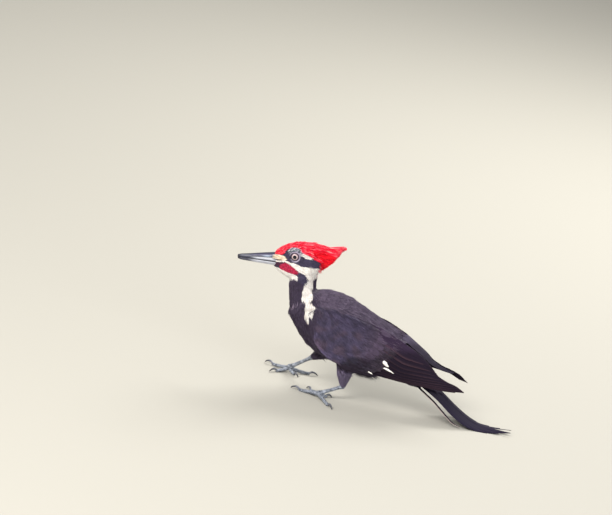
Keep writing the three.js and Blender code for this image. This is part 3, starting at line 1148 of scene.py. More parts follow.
@dataclass(frozen=True)
class Vane:
    """A small feather, one long along +Y and one wide, arched over a flat underside."""

    width: Profile
    rings: int
    across: tuple = (-1, 0, 1)
    arch: float = 0.4
    curl: float = 0.0
    sway: float = 0.0
    thick: float = 0.05

    def mesh(self, name: str) -> Mesh:
        """Builds the feather.

        Args:
            name: the new mesh's name.

        Returns:
            The closed vane with its own map.
        """
        points, leaf = [], []
        for v in np.linspace(0, 1, self.rings):
            half = float(self.width(v)) / 2
            for u in self.across:
                rise = self.arch * half * (1 - u * u) + self.thick * (1 - abs(u)) - self.curl * v * v
                points.append((u * half + self.sway * math.sin(math.pi * v), v, rise))
                leaf.append((0.5 + u / 2, v))
        sides = len(self.across)
        grid = np.arange(len(points)).reshape(self.rings, sides)
        faces = quads(grid).tolist() + [grid[0][::-1].tolist(), grid[-1].tolist()]
        return closed_mesh(name, np.array(points), faces, np.array(leaf))


SLIM = Profile((0, 0.55), (0.4, 1), (0.75, 0.72), (1, 0.05))
LONG = Profile((0, 0.5), (0.3, 1), (0.7, 0.8), (0.9, 0.42), (1, 0.04))
BROAD = Profile((0, 0.3), (0.3, 0.8), (0.65, 1), (0.9, 0.7), (1, 0.2))
FLAT = (-1, -0.5, 0.5, 1)
VANES = {
    VaneKind.BARB: (Vane(SLIM, 4), Vane(SLIM, 4, curl=0.25, sway=0.3), Vane(SLIM, 4, curl=-0.1, sway=-0.35)),
    VaneKind.PLUME: (
        Vane(BROAD, 6, FLAT, 0.09, 0.02, 0.0, 0.01),
        Vane(BROAD, 6, FLAT, 0.11, 0.03, 0.05, 0.01),
        Vane(BROAD, 6, FLAT, 0.07, 0.0, -0.05, 0.01),
    ),
    VaneKind.LOCK: (
        Vane(LONG, 7), Vane(LONG, 7, curl=0.5, sway=0.8), Vane(LONG, 7, curl=-0.3, sway=-0.9),
    ),
}


class FeatherTree:
    """The node tree that sets feathers on a surface, close and overlapping, along its lie."""

    INPUTS = {
        "Spacing": "Float", "Width": "Float", "Lift": "Float", "Jitter": "Float", "Vary": "Float",
        "Seed": "Int", "Material": "Material", "Vane A": "Object", "Vane B": "Object", "Vane C": "Object",
    }

    def __init__(self) -> None:
        """Builds the tree."""
        tree = bpy.data.node_groups.new("feather_bed", "GeometryNodeTree")
        tree.interface.new_socket("Geometry", in_out="OUTPUT", socket_type="NodeSocketGeometry")
        tree.interface.new_socket("Geometry", in_out="INPUT", socket_type="NodeSocketGeometry")
        self.sockets = {
            name: tree.interface.new_socket(name, in_out="INPUT", socket_type=f"NodeSocket{kind}").identifier
            for name, kind in self.INPUTS.items()
        }
        self.tree, self.graph = tree, Graph(tree)
        self.build()

    def named(self, name: str, kind: str) -> NodeSocket:
        """Reads an attribute of the surface."""
        node = self.graph.node("GeometryNodeInputNamedAttribute", {"data_type": kind}, {"Name": name})
        return node.outputs["Attribute"]

    def store(self, geometry: NodeSocket, name: str, kind: str, value: object) -> NodeSocket:
        """Keeps a value on each root under a name."""
        settings = {"data_type": kind, "domain": "POINT"}
        inputs = {"Geometry": geometry, "Name": name, "Value": value}
        return self.graph.first("GeometryNodeStoreNamedAttribute", settings, inputs)

    def chance(self, kind: str, low: object, high: object, seed: Term) -> NodeSocket:
        """A random value for each root between low and high.

        Args:
            kind: the value's type.
            low: its least.
            high: its most.
            seed: where the chances start.

        Returns:
            The value.
        """
        tail = {"FLOAT": "_001", "INT": "_002", "FLOAT_VECTOR": ""}[kind]
        inputs = {f"Min{tail}": low, f"Max{tail}": high, "Seed": seed}
        made = self.graph.node("FunctionNodeRandomValue", {"data_type": kind}, inputs)
        return socket(made.outputs, f"Value{tail}")

    def build(self) -> None:
        """Adds the tree's nodes."""
        graph = self.graph
        given = graph.node("NodeGroupInput").outputs
        numbers = ("Spacing", "Seed", "Jitter", "Lift", "Vary", "Width")
        spacing, seed, jitter, lift, vary, width = (graph.term(given[name]) for name in numbers)
        inputs = {
            "Mesh": given["Geometry"], "Distance Min": spacing,
            "Density Max": (spacing * spacing) ** -1.0 * 2.2,
            "Density Factor": self.named("density", "FLOAT"), "Seed": given["Seed"],
        }
        spread = graph.node("GeometryNodeDistributePointsOnFaces", {"distribute_method": "POISSON"}, inputs)
        number = graph.first("GeometryNodeInputIndex")
        roots = self.store(spread.outputs["Points"], "number", "INT", number)
        roots = self.store(roots, "root_map", "FLOAT_VECTOR", self.named(BAKE_MAP, "FLOAT_VECTOR"))
        up, ahead = self.named("facing", "FLOAT_VECTOR"), self.named("flow", "FLOAT_VECTOR")
        settings = {"primary_axis": "Z", "secondary_axis": "Y"}
        inputs = {"Primary Axis": up, "Secondary Axis": ahead}
        facing = graph.first("FunctionNodeAxesToRotation", settings, inputs)
        shake = self.chance("FLOAT_VECTOR", (-1.0, -1.0, -1.0), (1.0, 1.0, 1.0), seed + 7)
        pitch, roll, yaw = graph.parts(shake)
        tilt = graph.combine(lift * (pitch * 0.45 + 1), roll * jitter, yaw * jitter)
        tilt = graph.first("FunctionNodeEulerToRotation", None, {0: tilt})
        inputs = {0: facing, 1: tilt}
        turned = graph.first("FunctionNodeRotateRotation", {"rotation_space": "LOCAL"}, inputs)
        grown = graph.term(self.chance("FLOAT", -1.0, 1.0, seed + 11)) * vary + 1
        wide = width * (grown * 0.5 + 0.5)
        scale = graph.combine(wide, graph.term(self.named("size", "FLOAT")) * grown, wide)
        vanes = graph.node("GeometryNodeJoinGeometry")
        for key in ("Vane A", "Vane B", "Vane C"):
            here = graph.node("GeometryNodeObjectInfo", None, {"Object": given[key], "As Instance": True})
            self.tree.links.new(here.outputs["Geometry"], vanes.inputs[0])
        inputs = {
            "Points": roots, "Instance": vanes.outputs[0], "Pick Instance": True,
            "Instance Index": self.chance("INT", 0, 2, seed + 5), "Rotation": turned, "Scale": scale,
        }
        placed = graph.first("GeometryNodeInstanceOnPoints", None, inputs)
        real = graph.first("GeometryNodeRealizeInstances", None, {"Geometry": placed})
        inputs = {"Geometry": real, "Material": given["Material"]}
        graph.node("NodeGroupOutput", None, {0: graph.first("GeometryNodeSetMaterial", None, inputs)})


@dataclass
class Bed:
    """A surface that feathers grow on, with its lie."""

    obj: Object
    lie: Lie
    points: Points = field(init=False)
    facing: Points = field(init=False)
    flow: Points = field(init=False)
    length: Points = field(init=False)
    bare: Points = field(init=False)

    def __post_init__(self) -> None:
        """Reads the surface and its lie."""
        mesh = self.obj.data
        self.points = DRAWING.of(mesh)
        self.facing = normals(mesh)
        heading, self.length = self.lie.at(self.points)
        self.comb(heading)

    def comb(self, heading: Points) -> None:
        """Lays the coat along headings, flat on the surface, and keeps it off faces that look along them.

        Args:
            heading: the way the feathers point, one row for each place.
        """
        along = (heading * self.facing).sum(1)
        self.flow = unit(heading - self.facing * along[:, None])
        self.bare = ease(0.6, 0.85, along)
        write(self.obj.data, "flow", "FLOAT_VECTOR", self.flow)
        write(self.obj.data, "facing", "FLOAT_VECTOR", self.facing)


@dataclass
class Tract:
    """A tract of feathers: where it grows, and what its feathers are like, in millimetres and degrees."""

    name: str
    kind: VaneKind
    where: Points
    spacing: float
    width: float
    scale: float = 1.0
    lift: float = 4.0
    jitter: float = 6.0
    vary: float = 0.22
    seed: int = 1
    slot: str = "plumage_black"


class Plumage:
    """Grows tracts of feathers on beds."""

    def __init__(self) -> None:
        """Makes the feathers that the tracts repeat."""
        self.tree = FeatherTree()
        self.material = {
            "plumage_black": PlumageFinish("black_plumage").make(),
            "plumage_red": PlumageFinish(
                "scarlet_plumage", root_shade=0.86, tip_light=1.16, sheen=0.02, specular=0.14
            ).make(),
            "blade": PlumageFinish(
                "long_feathers", gloss=0.62, root_shade=0.95, tip_light=1.0, barbs=150.0, slant=0.24,
                relief=0.00005, sheen=0.02, specular=0.08,
            ).make(),
        }
        self.vanes = {
            kind: [put(vane.mesh(f"vane_{kind.value}_{i}")) for i, vane in enumerate(made)]
            for kind, made in VANES.items()
        }

    def grow(
        self, bed: Bed, tract: Tract, paint: Paint = MARKINGS.paint
    ) -> None:
        """Grows one tract.

        Args:
            bed: the surface.
            tract: the tract.
            paint: colours for places in drawing millimetres, given a chance for each.
        """
        ground = put(bed.obj.data.copy())
        write(ground.data, "density", "FLOAT", np.clip(tract.where * (1 - bed.bare), 0, 1))
        write(ground.data, "size", "FLOAT", bed.length * tract.scale / 1000)
        modifier = ground.modifiers.new("feathers", "NODES")
        modifier.node_group = self.tree.tree
        values = {
            "Spacing": tract.spacing / 1000, "Width": tract.width / 1000, "Lift": math.radians(tract.lift),
            "Jitter": math.radians(tract.jitter), "Vary": tract.vary, "Seed": tract.seed,
            "Material": self.material[tract.slot],
        }
        values |= dict(zip(("Vane A", "Vane B", "Vane C"), self.vanes[tract.kind]))
        for name, value in values.items():
            modifier[self.tree.sockets[name]] = value
        mesh = evaluated(ground)
        bpy.data.objects.remove(ground)
        mesh.name = tract.name
        self.dress(mesh, tract, paint)
        finish_piece(smooth_shaded(mesh), self.material[tract.slot])

    def dress(self, mesh: Mesh, tract: Tract, paint: Paint) -> None:
        """Paints each feather by where its free end lies, and lays out its bake map.

        Args:
            mesh: the tract's feathers.
            tract: the tract.
            paint: colours for places, given a chance for each.
        """
        number = pull(mesh.attributes["number"].data, "value", 1, np.int32)
        leaf, along = leaf_of(mesh)
        points = DRAWING.of(mesh)
        weight = np.bincount(number, along[:, 1])
        seen = [np.bincount(number, points[:, k] * along[:, 1]) / np.maximum(weight, 1e-9) for k in range(3)]
        dice = np.random.default_rng(tract.seed).random(len(weight))
        set_tint(mesh, paint(np.column_stack(seen), dice)[number])
        spot = pull(mesh.attributes["root_map"].data, "vector", 3)[:, :2]
        kept = {TINT, LEAF_MAP, "position", "sharp_face", "material_index"}
        spare = [a for a in mesh.attributes if a.name not in kept and not (a.is_internal or a.is_required)]
        for name in [a.name for a in spare]:
            mesh.attributes.remove(mesh.attributes[name])
        set_map(mesh, BAKE_MAP, spot[corners(mesh)] + (leaf - 0.5) * PATCH)

    def clear(self) -> None:
        """Removes the feathers that the tracts repeat."""
        for made in self.vanes.values():
            for vane in made:
                bpy.data.objects.remove(vane)


# ---- Skin ----


@dataclass
class Skin:
    """One skin over head, crest, neck, trunk and thighs, inside them by the coat's depth."""

    nodes: tuple = ("head", "crest", "neck", "trunk", "thigh_left", "thigh_right")
    voxel: float = 1.25
    closing: float = 0.6
    rounds: int = 8
    depth_share: float = 0.09
    depth_least: float = 0.3
    leg_depth: float = 1.5
    # the reach of the dish round each eye, level and up to its rim, and how far out the rim stands
    orbit: tuple = (5.0, 9.0)
    rim: float = 12.5

    def fused(self, name: str, nodes: tuple, closing: float, voxel: float, rounds: int) -> Object:
        """Melts solids into one smooth body.

        Args:
            name: the new object's name.
            nodes: the solids.
            closing: how far each swells first, so that gaps close.
            voxel: the new mesh's grain.
            rounds: how often it is smoothed.

        Returns:
            The new body.
        """
        form = bmesh.new()
        for node in nodes:
            form.from_mesh(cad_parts[node].data)
        bmesh.ops.remove_doubles(form, verts=form.verts, dist=1e-6)
        form.normal_update()
        mesh = bpy.data.meshes.new(name)
        form.to_mesh(mesh)
        form.free()
        place_vertices(mesh, vertices(mesh) + normals(mesh) * closing / 1000)
        body = put(mesh)
        melt = body.modifiers.new("melt", "REMESH")
        melt.mode, melt.voxel_size = "VOXEL", voxel / 1000
        soften = body.modifiers.new("soften", "SMOOTH")
        soften.factor, soften.iterations = 0.6, rounds
        body.data = evaluated(body)
        body.modifiers.clear()
        return body

    def largest(self, body: Object) -> None:
        """Keeps the body's one outer skin and drops loose bits inside.

        Args:
            body: the body, changed in place.
        """
        form = bmesh.new()
        form.from_mesh(body.data)
        form.verts.ensure_lookup_table()
        left, best = set(form.verts), []
        while left:
            found, todo = set(), [next(iter(left))]
            while todo:
                vertex = todo.pop()
                if vertex in found:
                    continue
                found.add(vertex)
                todo += [edge.other_vert(vertex) for edge in vertex.link_edges]
            left -= found
            best = found if len(found) > len(best) else best
        bmesh.ops.delete(form, geom=[v for v in form.verts if v not in best], context="VERTS")
        form.to_mesh(body.data)
        form.free()

    def unwrap(self, body: Object) -> None:
        """Lays the skin out flat on its bake map.

        Args:
            body: the skin, changed in place.
        """
        bpy.context.view_layer.objects.active = body
        bpy.ops.object.select_all(action="DESELECT")
        body.select_set(True)
        body.data.uv_layers.new(name=BAKE_MAP)
        bpy.ops.object.mode_set(mode="EDIT")
        bpy.ops.mesh.select_all(action="SELECT")
        bpy.ops.uv.smart_project(angle_limit=1.15, island_margin=0.004)
        bpy.ops.object.mode_set(mode="OBJECT")
        body.select_set(False)

    def sink(self, body: Object, extra: float) -> None:
        """Moves the skin in by the coat's depth, and dishes it round the eyes.

        Args:
            body: the skin, changed in place.
            extra: how much further in it goes, in millimetres.
        """
        mesh = body.data
        points, facing = DRAWING.of(mesh), normals(mesh)
        _, length = BODY_LIE.at(points)
        depth = self.depth_least + self.depth_share * length + extra
        here = vertices(mesh)
        leg = np.minimum(distances("thigh_left", here), distances("thigh_right", here)) * 1000
        depth = np.where(leg < self.leg_depth, np.minimum(depth, self.leg_depth), depth)
        points = points - facing * depth[:, None]
        reach = np.hypot(points[:, 0] - Drawing.BALL[0], points[:, 2] - Drawing.BALL[2])
        aside = np.abs(points[:, 1])
        ball, inner, outer = Eyes.radius, *self.orbit
        dish = abs(Drawing.BALL[1]) + np.sqrt(ball**2 - np.minimum(reach, inner) ** 2) - 0.3
        eased = dish + (np.maximum(aside, self.rim) - dish) * ease(inner + 0.4, outer, reach)
        near = (reach < outer) & (aside > 7)
        points[near, 1] = np.sign(points[near, 1]) * np.minimum(eased, 30)[near]
        place_vertices(mesh, DRAWING.to_model(points))

    def build(self) -> Object:
        """Makes the skin.

        Returns:
            The skin, unwrapped but not yet painted.
        """
        body = self.fused("skin", self.nodes, self.closing, self.voxel, self.rounds)
        self.largest(body)
        self.sink(body, self.closing)
        self.unwrap(body)
        return body


# ---- Wings ----


@dataclass
class WingForm:
    """How far out the two faces of a folded wing lie, read from its solid."""

    side: str
    stations: int = 84
    across: int = 17

    def __post_init__(self) -> None:
        """Cuts the solid at each station."""
        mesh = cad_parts[f"wing_{self.side}"].data
        mesh.calc_loop_triangles()
        solid = DRAWING.of(mesh)[pull(mesh.loop_triangles, "vertices", 3, np.int32)]
        self.xs = np.linspace(solid[..., 0].min() + 0.4, solid[..., 0].max() - 0.4, self.stations)
        self.low, self.high = np.empty(self.stations), np.empty(self.stations)
        self.outer = np.empty((self.stations, self.across))
        self.inner = np.empty((self.stations, self.across))
        for i, x in enumerate(self.xs):
            self.cut(i, self.section(solid, x))
        self.outer, self.inner = self.eased(self.outer), self.eased(self.inner)

    def section(self, solid: Points, x: float) -> Points:
        """The solid's outline at x, as pairs of points of how far out and how high.

        Args:
            solid: the solid's triangles.
            x: where to cut.

        Returns:
            The outline, by pair, by end, by how far out and how high.
        """
        ends = []
        for a, b in ((0, 1), (1, 2), (2, 0)):
            start, end = solid[:, a], solid[:, b]
            t = (x - start[:, 0]) / np.where(
                np.abs(end[:, 0] - start[:, 0]) < 1e-9, 1e-9, end[:, 0] - start[:, 0]
            )
            hit = (t >= 0) & (t < 1)
            ends.append(np.where(hit[:, None], start[:, 1:] + (end - start)[:, 1:] * t[:, None], np.nan))
        stack = np.stack(ends, 1)
        chosen = stack[(~np.isnan(stack[..., 0])).sum(1) == 2]
        found = np.array([row[~np.isnan(row[:, 0])] for row in chosen])
        found[..., 0] = np.abs(found[..., 0])
        return found

    def cut(self, i: int, pairs: Points) -> None:
        """Keeps one section's edges and faces.

        Args:
            i: which section.
            pairs: its outline, as section gives it.
        """
        self.low[i], self.high[i] = pairs[..., 1].min(), pairs[..., 1].max()
        for k, t in enumerate(np.linspace(0.02, 0.98, self.across)):
            z = self.low[i] + (self.high[i] - self.low[i]) * t
            rise = pairs[:, 1, 1] - pairs[:, 0, 1]
            share = (z - pairs[:, 0, 1]) / np.where(np.abs(rise) < 1e-9, 1e-9, rise)
            hit = (share >= 0) & (share <= 1)
            out = (pairs[:, 0, 0] + (pairs[:, 1, 0] - pairs[:, 0, 0]) * share)[hit]
            self.outer[i, k], self.inner[i, k] = out.max(), out.min()

    def eased(self, table: Points) -> Points:
        """The same face without the solid's facets.

        Args:
            table: the face, by station and height.

        Returns:
            The same table, smoothed.
        """
        for _ in range(5):
            wide = np.pad(table, 1, mode="edge")
            table = (wide[:-2, 1:-1] + wide[2:, 1:-1] + wide[1:-1, :-2] + wide[1:-1, 2:] + 2 * table) / 6
        return table

    def top(self, x: Points) -> Points:
        """How high the wing's upper edge lies at x."""
        return np.interp(x, self.xs, self.high)

    def foot(self, x: Points) -> Points:
        """How high the wing's lower edge lies at x."""
        return np.interp(x, self.xs, self.low)

    def out(self, x: Points, z: Points, face: Points | None = None) -> Points:
        """How far out a face lies.

        Args:
            x: places along the bird.
            z: heights.
            face: the face's table; the outer one if none is given.

        Returns:
            The distance from the middle plane.
        """
        face = self.outer if face is None else face
        low, high = self.foot(x), self.top(x)
        t = np.clip((z - low) / np.maximum(high - low, 1e-6), 0, 1) * (self.across - 1)
        s = np.clip(np.interp(x, self.xs, np.arange(self.stations)), 0, self.stations - 1)
        i, k = np.minimum(s.astype(int), self.stations - 2), np.minimum(t.astype(int), self.across - 2)
        a, b = s - i, t - k
        start = face[i, k] * (1 - b) + face[i, k + 1] * b
        end = face[i + 1, k] * (1 - b) + face[i + 1, k + 1] * b
        return start * (1 - a) + end * a


@dataclass(frozen=True)
class Quill:
    """A long wing feather: how high its lower edge lies at x 80 and 110, its tip, width and layer."""

    low_near: float
    low_mid: float
    tip: tuple[float, float]
    width: float
    layer: float


@dataclass
class Blade:
    """Builds long feathers into a shell, one after another."""

    rings: int = 34
    columns: tuple = (-1, -0.86, -0.62, -0.36, -0.14, -0.045, 0.045, 0.14, 0.36, 0.62, 0.86, 1)
    thick: float = 0.36
    shaft: float = 0.28
    splits: int = 3
    # how wide the shaft is, and how long a split, as shares of the feather
    shaft_width: float = 0.07
    split_length: float = 0.012
    shell: Shell = field(default_factory=Shell)
    spans: list = field(default_factory=list)

    def add(
        self, path: Points, across: Points, over: Points, wide: Points, camber: float,
        rng: np.random.Generator,
    ) -> None:
        """Adds a feather.

        Args:
            path: its shaft, from root to tip.
            across: the way across it at each point.
            over: the way out of its face at each point.
            wide: its half width at each point.
            camber: how far its middle stands over its edges.
            rng: where its splits come from.
        """
        u = np.array(self.columns)
        v = np.linspace(0, 1, len(path))
        split = np.ones((2, len(path)))
        for web in range(2):
            for at in rng.uniform(0.35, 0.97, self.splits):
                split[web] *= 1 - rng.uniform(0.03, 0.12) * bump(v, at, self.split_length)
        half = wide[:, None] * np.where(u[None] < 0, split[0][:, None], split[1][:, None])
        aside = (u[None] * half)[..., None] * across[:, None]
        rise = camber * (1 - u**2)[None] * ease(0.0, 0.25, v)[:, None]
        rounded = np.sqrt(np.clip(1 - np.abs(u) ** 2.6, 0.02, 1))[None]
        edge = rounded * (1.15 - 0.75 * v)[:, None] * self.thick / 2
        quill = self.shaft * bump(u, 0, self.shaft_width)[None] * (1 - 0.8 * v)[:, None]
        top = path[:, None] + aside + (rise + edge + quill)[..., None] * over[:, None]
        under = path[:, None] + aside + (rise - edge - quill * 0.7)[..., None] * over[:, None]
        leaf = paired(0.5 + u[None] / 2, v[:, None])
        self.shell.loft(np.concatenate([top, under[:, ::-1]], 1), np.concatenate([leaf, leaf[:, ::-1]], 1))
        self.spans.append((len(path), len(u)))

    def bake_map(self) -> Points:
        """A place for each vertex: each feather in its own strip, its face beside its back.

        Returns:
            The places, one row for each vertex.
        """
        spots = []
        for k, (length, half) in enumerate(self.spans):
            v = np.linspace(0.01, 0.99, length)[:, None]
            low, tall = (k + 0.06) / len(self.spans), 0.88 / len(self.spans)
            u = low + tall * np.concatenate([np.linspace(0, 0.48, half), np.linspace(1, 0.52, half)])[None]
            grid = paired(v, u).reshape(-1, 2)
            spots.append(np.vstack([grid, [0.005, low + tall / 2], [0.995, low + tall / 2]]))
        return np.vstack(spots)

    def mesh(self, name: str) -> Mesh:
        """All the feathers as one mesh with both maps."""
        made = self.shell.mesh(name)
        set_map(made, BAKE_MAP, self.bake_map()[corners(made)])
        return made


LEVEL = Profile((0, 0), (1, 0))
# where the points of a short stiff feather lie across it, from edge to edge
COVERT_COLUMNS = (-1, -0.7, -0.3, -0.06, 0.06, 0.3, 0.7, 1)


@dataclass
class Wing:
    """A folded wing: a thin body, small coverts, and quills laid like tiles over it."""

    side: str
    plumage: Plumage
    covert_depth: float = 0.7
    quill_depth: float = 2.6
    tilt: float = 0.9
    drop: float = 0.0
    # how far the upper edge lies lower, and the lower edge higher, than on the solid
    trim: Profile = LEVEL
    rise: Profile = LEVEL
    # a quill's and a covert's half width from root to tip, as a share of the widest
    half: Profile = Profile(
        (0, 0.5), (0.3, 0.9), (0.62, 1), (0.87, 0.86), (0.96, 0.6), (0.988, 0.36), (1, 0.1)
    )
    covert_half: Profile = Profile((0, 0.4), (0.3, 0.85), (0.6, 1), (0.84, 0.72), (0.95, 0.38), (1, 0.06))
    # the lower edge of the lit coverts along the bird; below it the wing takes painted shade
    shade_edge: Profile = Profile((22, 48), (30, 62), (37, 72), (65, 76), (84, 91), (110, 93))
    quills: tuple = (
        Quill(50.3, 49.0, (162, 50), 6.5, -1.5),
        Quill(50.8, 49.2, (180, 50.4), 7, -1.4),
        Quill(51.8, 49.8, (191, 51.8), 8, -1.2),
        Quill(53.8, 50.8, (189, 53.6), 8.5, -1.0),
        Quill(56.8, 52.4, (185, 55.8), 9, -0.8),
        Quill(60.5, 54.8, (179, 58.3), 10, -0.55),
        Quill(65.5, 58.3, (172, 60.3), 11, -0.3),
        Quill(71.5, 62.3, (164, 62.5), 12, 0.0),
        Quill(78, 67.5, (156, 66), 14, 0.3),
        Quill(85, 73.5, (150, 70), 16, 0.6),
        Quill(92, 80, (144, 75.5), 17, 0.9),
    )
    quill_root: float = 50.0
    # the tips of the greater coverts, from the lowest up
    greater: tuple = (
        (50, 50.5), (58, 52.5), (64, 56), (69.5, 60.5), (74, 65.5), (78, 71), (82, 77), (86, 84), (89, 91),
        (91, 98),
    )
    # their rows: how far ahead, length, width and layer
    covert_rows: tuple = ((0, 25, 10, 0.0), (-9, 20, 9.5, 0.55))
    # white feathers at the quills' roots: root, tip and width
    flecks: tuple = (
        ((77, 73.5), (86.5, 69.6), 4.2), ((78, 71.5), (88.5, 67.6), 3.4), ((80, 64.4), (93.5, 61.2), 2.4),
        ((61, 54.6), (69.5, 52.6), 1.7), ((84, 63.2), (96.5, 60), 1.6),
    )
    # the feathers that roof the back beside the rump: where each ends, its width and layer
    tertials: tuple = ((172, 8, -0.9), (160, 10, -0.3), (147, 12, 0.3), (132, 13, 0.9))
    tertial_root: float = 76.0
    roof: float = 30.0
    # how far the roots of quills, coverts and tertials dip under the feathers before them
    quill_dip: float = 2.6
    covert_dip: float = 2.2
    tertial_dip: float = 5.5
    # the heading of the lowest greater covert, and how much steeper the highest lies
    covert_heading: float = -7.0
    covert_fan: float = 18.0
    # each row's colour, its edges' colour, and how much of that shows
    quill_tone: tuple = (srgb(46, 34, 53), srgb(106, 78, 84), 0.42)
    tertial_tone: tuple = (srgb(72, 65, 82), srgb(92, 83, 98), 0.35)
    covert_tone: tuple = (srgb(68, 57, 74), srgb(88, 76, 90), 0.25)
    # a row is shaded in this many groups
    shade_groups: int = 16
    # the thin body's end, how many sections it has, and how many points across each face
    body_end: float = 168.0
    body_sections: int = 92
    body_across: int = 25
    form: WingForm = field(init=False)
    sign: int = field(init=False)
    rng: np.random.Generator = field(init=False)

    def __post_init__(self) -> None:
        """Reads the wing's solid."""
        self.form = WingForm(self.side)
        self.form.high -= self.trim(self.form.xs)
        self.form.low += self.rise(self.form.xs)
        self.sign = SIDES[self.side]
        self.rng = np.random.default_rng(11)

    def on_face(self, x: Points, z: Points, lift: Points | float = 0.0) -> Points:
        """Places on the wing's outer face, lifted off it."""
        return np.column_stack([x, self.sign * (self.form.out(x, z) + lift), z])

    def sag(self, x: Points) -> Points:
        """How far the wing hangs towards its tip."""
        return self.drop * ease(110, 190, x)

    def behind(self, z: Points) -> Points:
        """Where the small coverts end at each height."""
        edge = np.array(self.greater, float)
        return np.interp(z, edge[:, 1], edge[:, 0])

    def lay(self, blade: Blade, low: Points, high: Points, camber: float, out: Points | None = None) -> None:
        """Lays a feather between its lower and upper edges, its face out from the bird or towards out.

        Args:
            blade: the feathers to add to.
            low: places along its lower edge, from root to tip.
            high: places along its upper edge.
            camber: how far its middle stands over its edges.
            out: the way its face looks.
        """
        out = np.array((0, self.sign, 0)) if out is None else out
        path, wide = (low + high) / 2, np.linalg.norm(high - low, axis=1) / 2
        across = unit(high - low)
        over = np.cross(unit(np.gradient(path, axis=0)), across)
        over = unit(over * np.sign((over @ out)[:, None] + 1e-9))
        blade.add(path, across, over, wide, camber, self.rng)

    def lay_quill(self, blade: Blade, quill: Quill) -> None:
        """Lays one quill, its lower edge out and its upper edge under the next.

        Args:
            blade: the feathers to add to.
            quill: the quill.
        """
        v = np.linspace(0, 1, blade.rings)
        x = self.quill_root + (quill.tip[0] - self.quill_root) * v
        steep = quill.low_near - quill.low_mid
        root = (self.quill_root, quill.low_near + steep)
        edge = Profile(root, (80, quill.low_near), (110, quill.low_mid), quill.tip)
        low = np.minimum(np.maximum(edge(x), self.form.foot(x) + 0.1), self.form.top(x) - 0.3)
        top = np.minimum(low + quill.width * self.half(v), self.form.top(x) + 0.6)
        top = np.maximum(top, low + 0.3)
        sag = self.sag(x)
        lift = quill.layer + 0.5 * v**2 - self.quill_dip * ease(0.3, 0.05, v)
        lower = self.on_face(x, low, lift + self.tilt / 2) - (0, 0, 1) * sag[:, None]
        upper = self.on_face(x, top, lift - self.tilt / 2) - (0, 0, 1) * sag[:, None]
        self.lay(blade, lower, upper, 0.3)

    def lay_covert(
        self, blade: Blade, tip: tuple, length: float, width: float, turn: float, layer: float
    ) -> None:
        """Lays one covert back to its tip, along a heading in degrees.

        Args:
            blade: the feathers to add to.
            tip: its end, along and up.
            length: its length.
            width: its width.
            turn: its heading.
            layer: how far out it lies.
        """
        v = np.linspace(0, 1, blade.rings)
        along = np.array([math.cos(math.radians(turn)), math.sin(math.radians(turn))])
        up = np.array([-along[1], along[0]])
        bow = up * (0.06 * length * np.sin(np.pi * v))[:, None]
        middle = np.array(tip) + along * (length * (v - 1))[:, None] + bow
        half = width / 2 * self.covert_half(v)[:, None]
        low, high = middle - up * half, middle + up * half
        top = self.form.top(high[:, 0]) + 0.2
        high[:, 1] = np.minimum(high[:, 1], top)
        low[:, 1] = np.minimum(low[:, 1], high[:, 1] - 0.4)
        lift = layer + 0.7 * v - self.covert_dip * ease(0.45, 0.0, v)
        self.lay(blade, self.on_face(*low.T, lift + 0.25), self.on_face(*high.T, lift - 0.2), 0.25)

    def lay_tertial(self, blade: Blade, end: float, width: float, layer: float) -> None:
        """Lays one feather along the wing's upper edge, sloping in over the back.

        Args:
            blade: the feathers to add to.
            end: where it ends along the bird.
            width: its width.
            layer: how far up it lies.
        """
        v = np.linspace(0, 1, blade.rings)
        x = self.tertial_root + (end - self.tertial_root) * v
        z = self.form.top(x) - 0.4
        out = self.form.out(x, z) + 0.2
        wide = width * self.half(v)
        slope = math.radians(self.roof)
        up = z + 0.5 + layer * 0.6 - self.sag(x) - self.tertial_dip * ease(0.52, 0.12, v)
        outer = np.column_stack([x, self.sign * out, up])
        inward = self.sign * (out - wide * math.cos(slope))
        inner = np.column_stack([x, inward, up - wide * math.sin(slope)])
        self.lay(blade, inner, outer, 0.5, np.array((0, 0, 1)))

    def body(self) -> Object:
        """The wing's thin body under its feathers.

        Returns:
            The body, not yet a piece.
        """
        rings = []
        for x in np.linspace(self.form.xs[0] + 1.0, self.body_end, self.body_sections):
            low, high = self.form.foot(x), self.form.top(x)
            narrow = 0.04 + 0.43 * float(ease(96, 172, x))
            z = low + (high - low) * np.linspace(narrow, 1 - narrow, self.body_across)
            at = np.full(len(z), x)
            bare = ease(-3, 9, x - self.behind(z))
            outer = self.form.out(at, z) - self.covert_depth - (self.quill_depth - self.covert_depth) * bare
            inner = np.minimum(self.form.out(at, z, self.form.inner) + 0.4, outer - 0.4)
            face = np.column_stack([at, self.sign * outer, z])
            back = np.column_stack([at, self.sign * inner, z])
            rings.append(np.vstack([face, back[::-1]]))
        grid = np.array(rings)
        long, round_ = (np.linspace(0.01, 0.99, n) for n in grid.shape[:2])
        shell = Shell()
        shell.loft(grid, paired(long[:, None], round_[None]))
        mesh = shell.mesh(f"wing_{self.side}_body")
        set_map(mesh, BAKE_MAP, leaf_of(mesh)[0])
        return put(mesh)

    def shade(self, points: Points) -> Points:
        """How much painted shade darkens the wing below its lit coverts."""
        return 1 - 0.55 * ease(1, -8, points[:, 2:] - self.shade_edge(points[:, 0])[:, None])

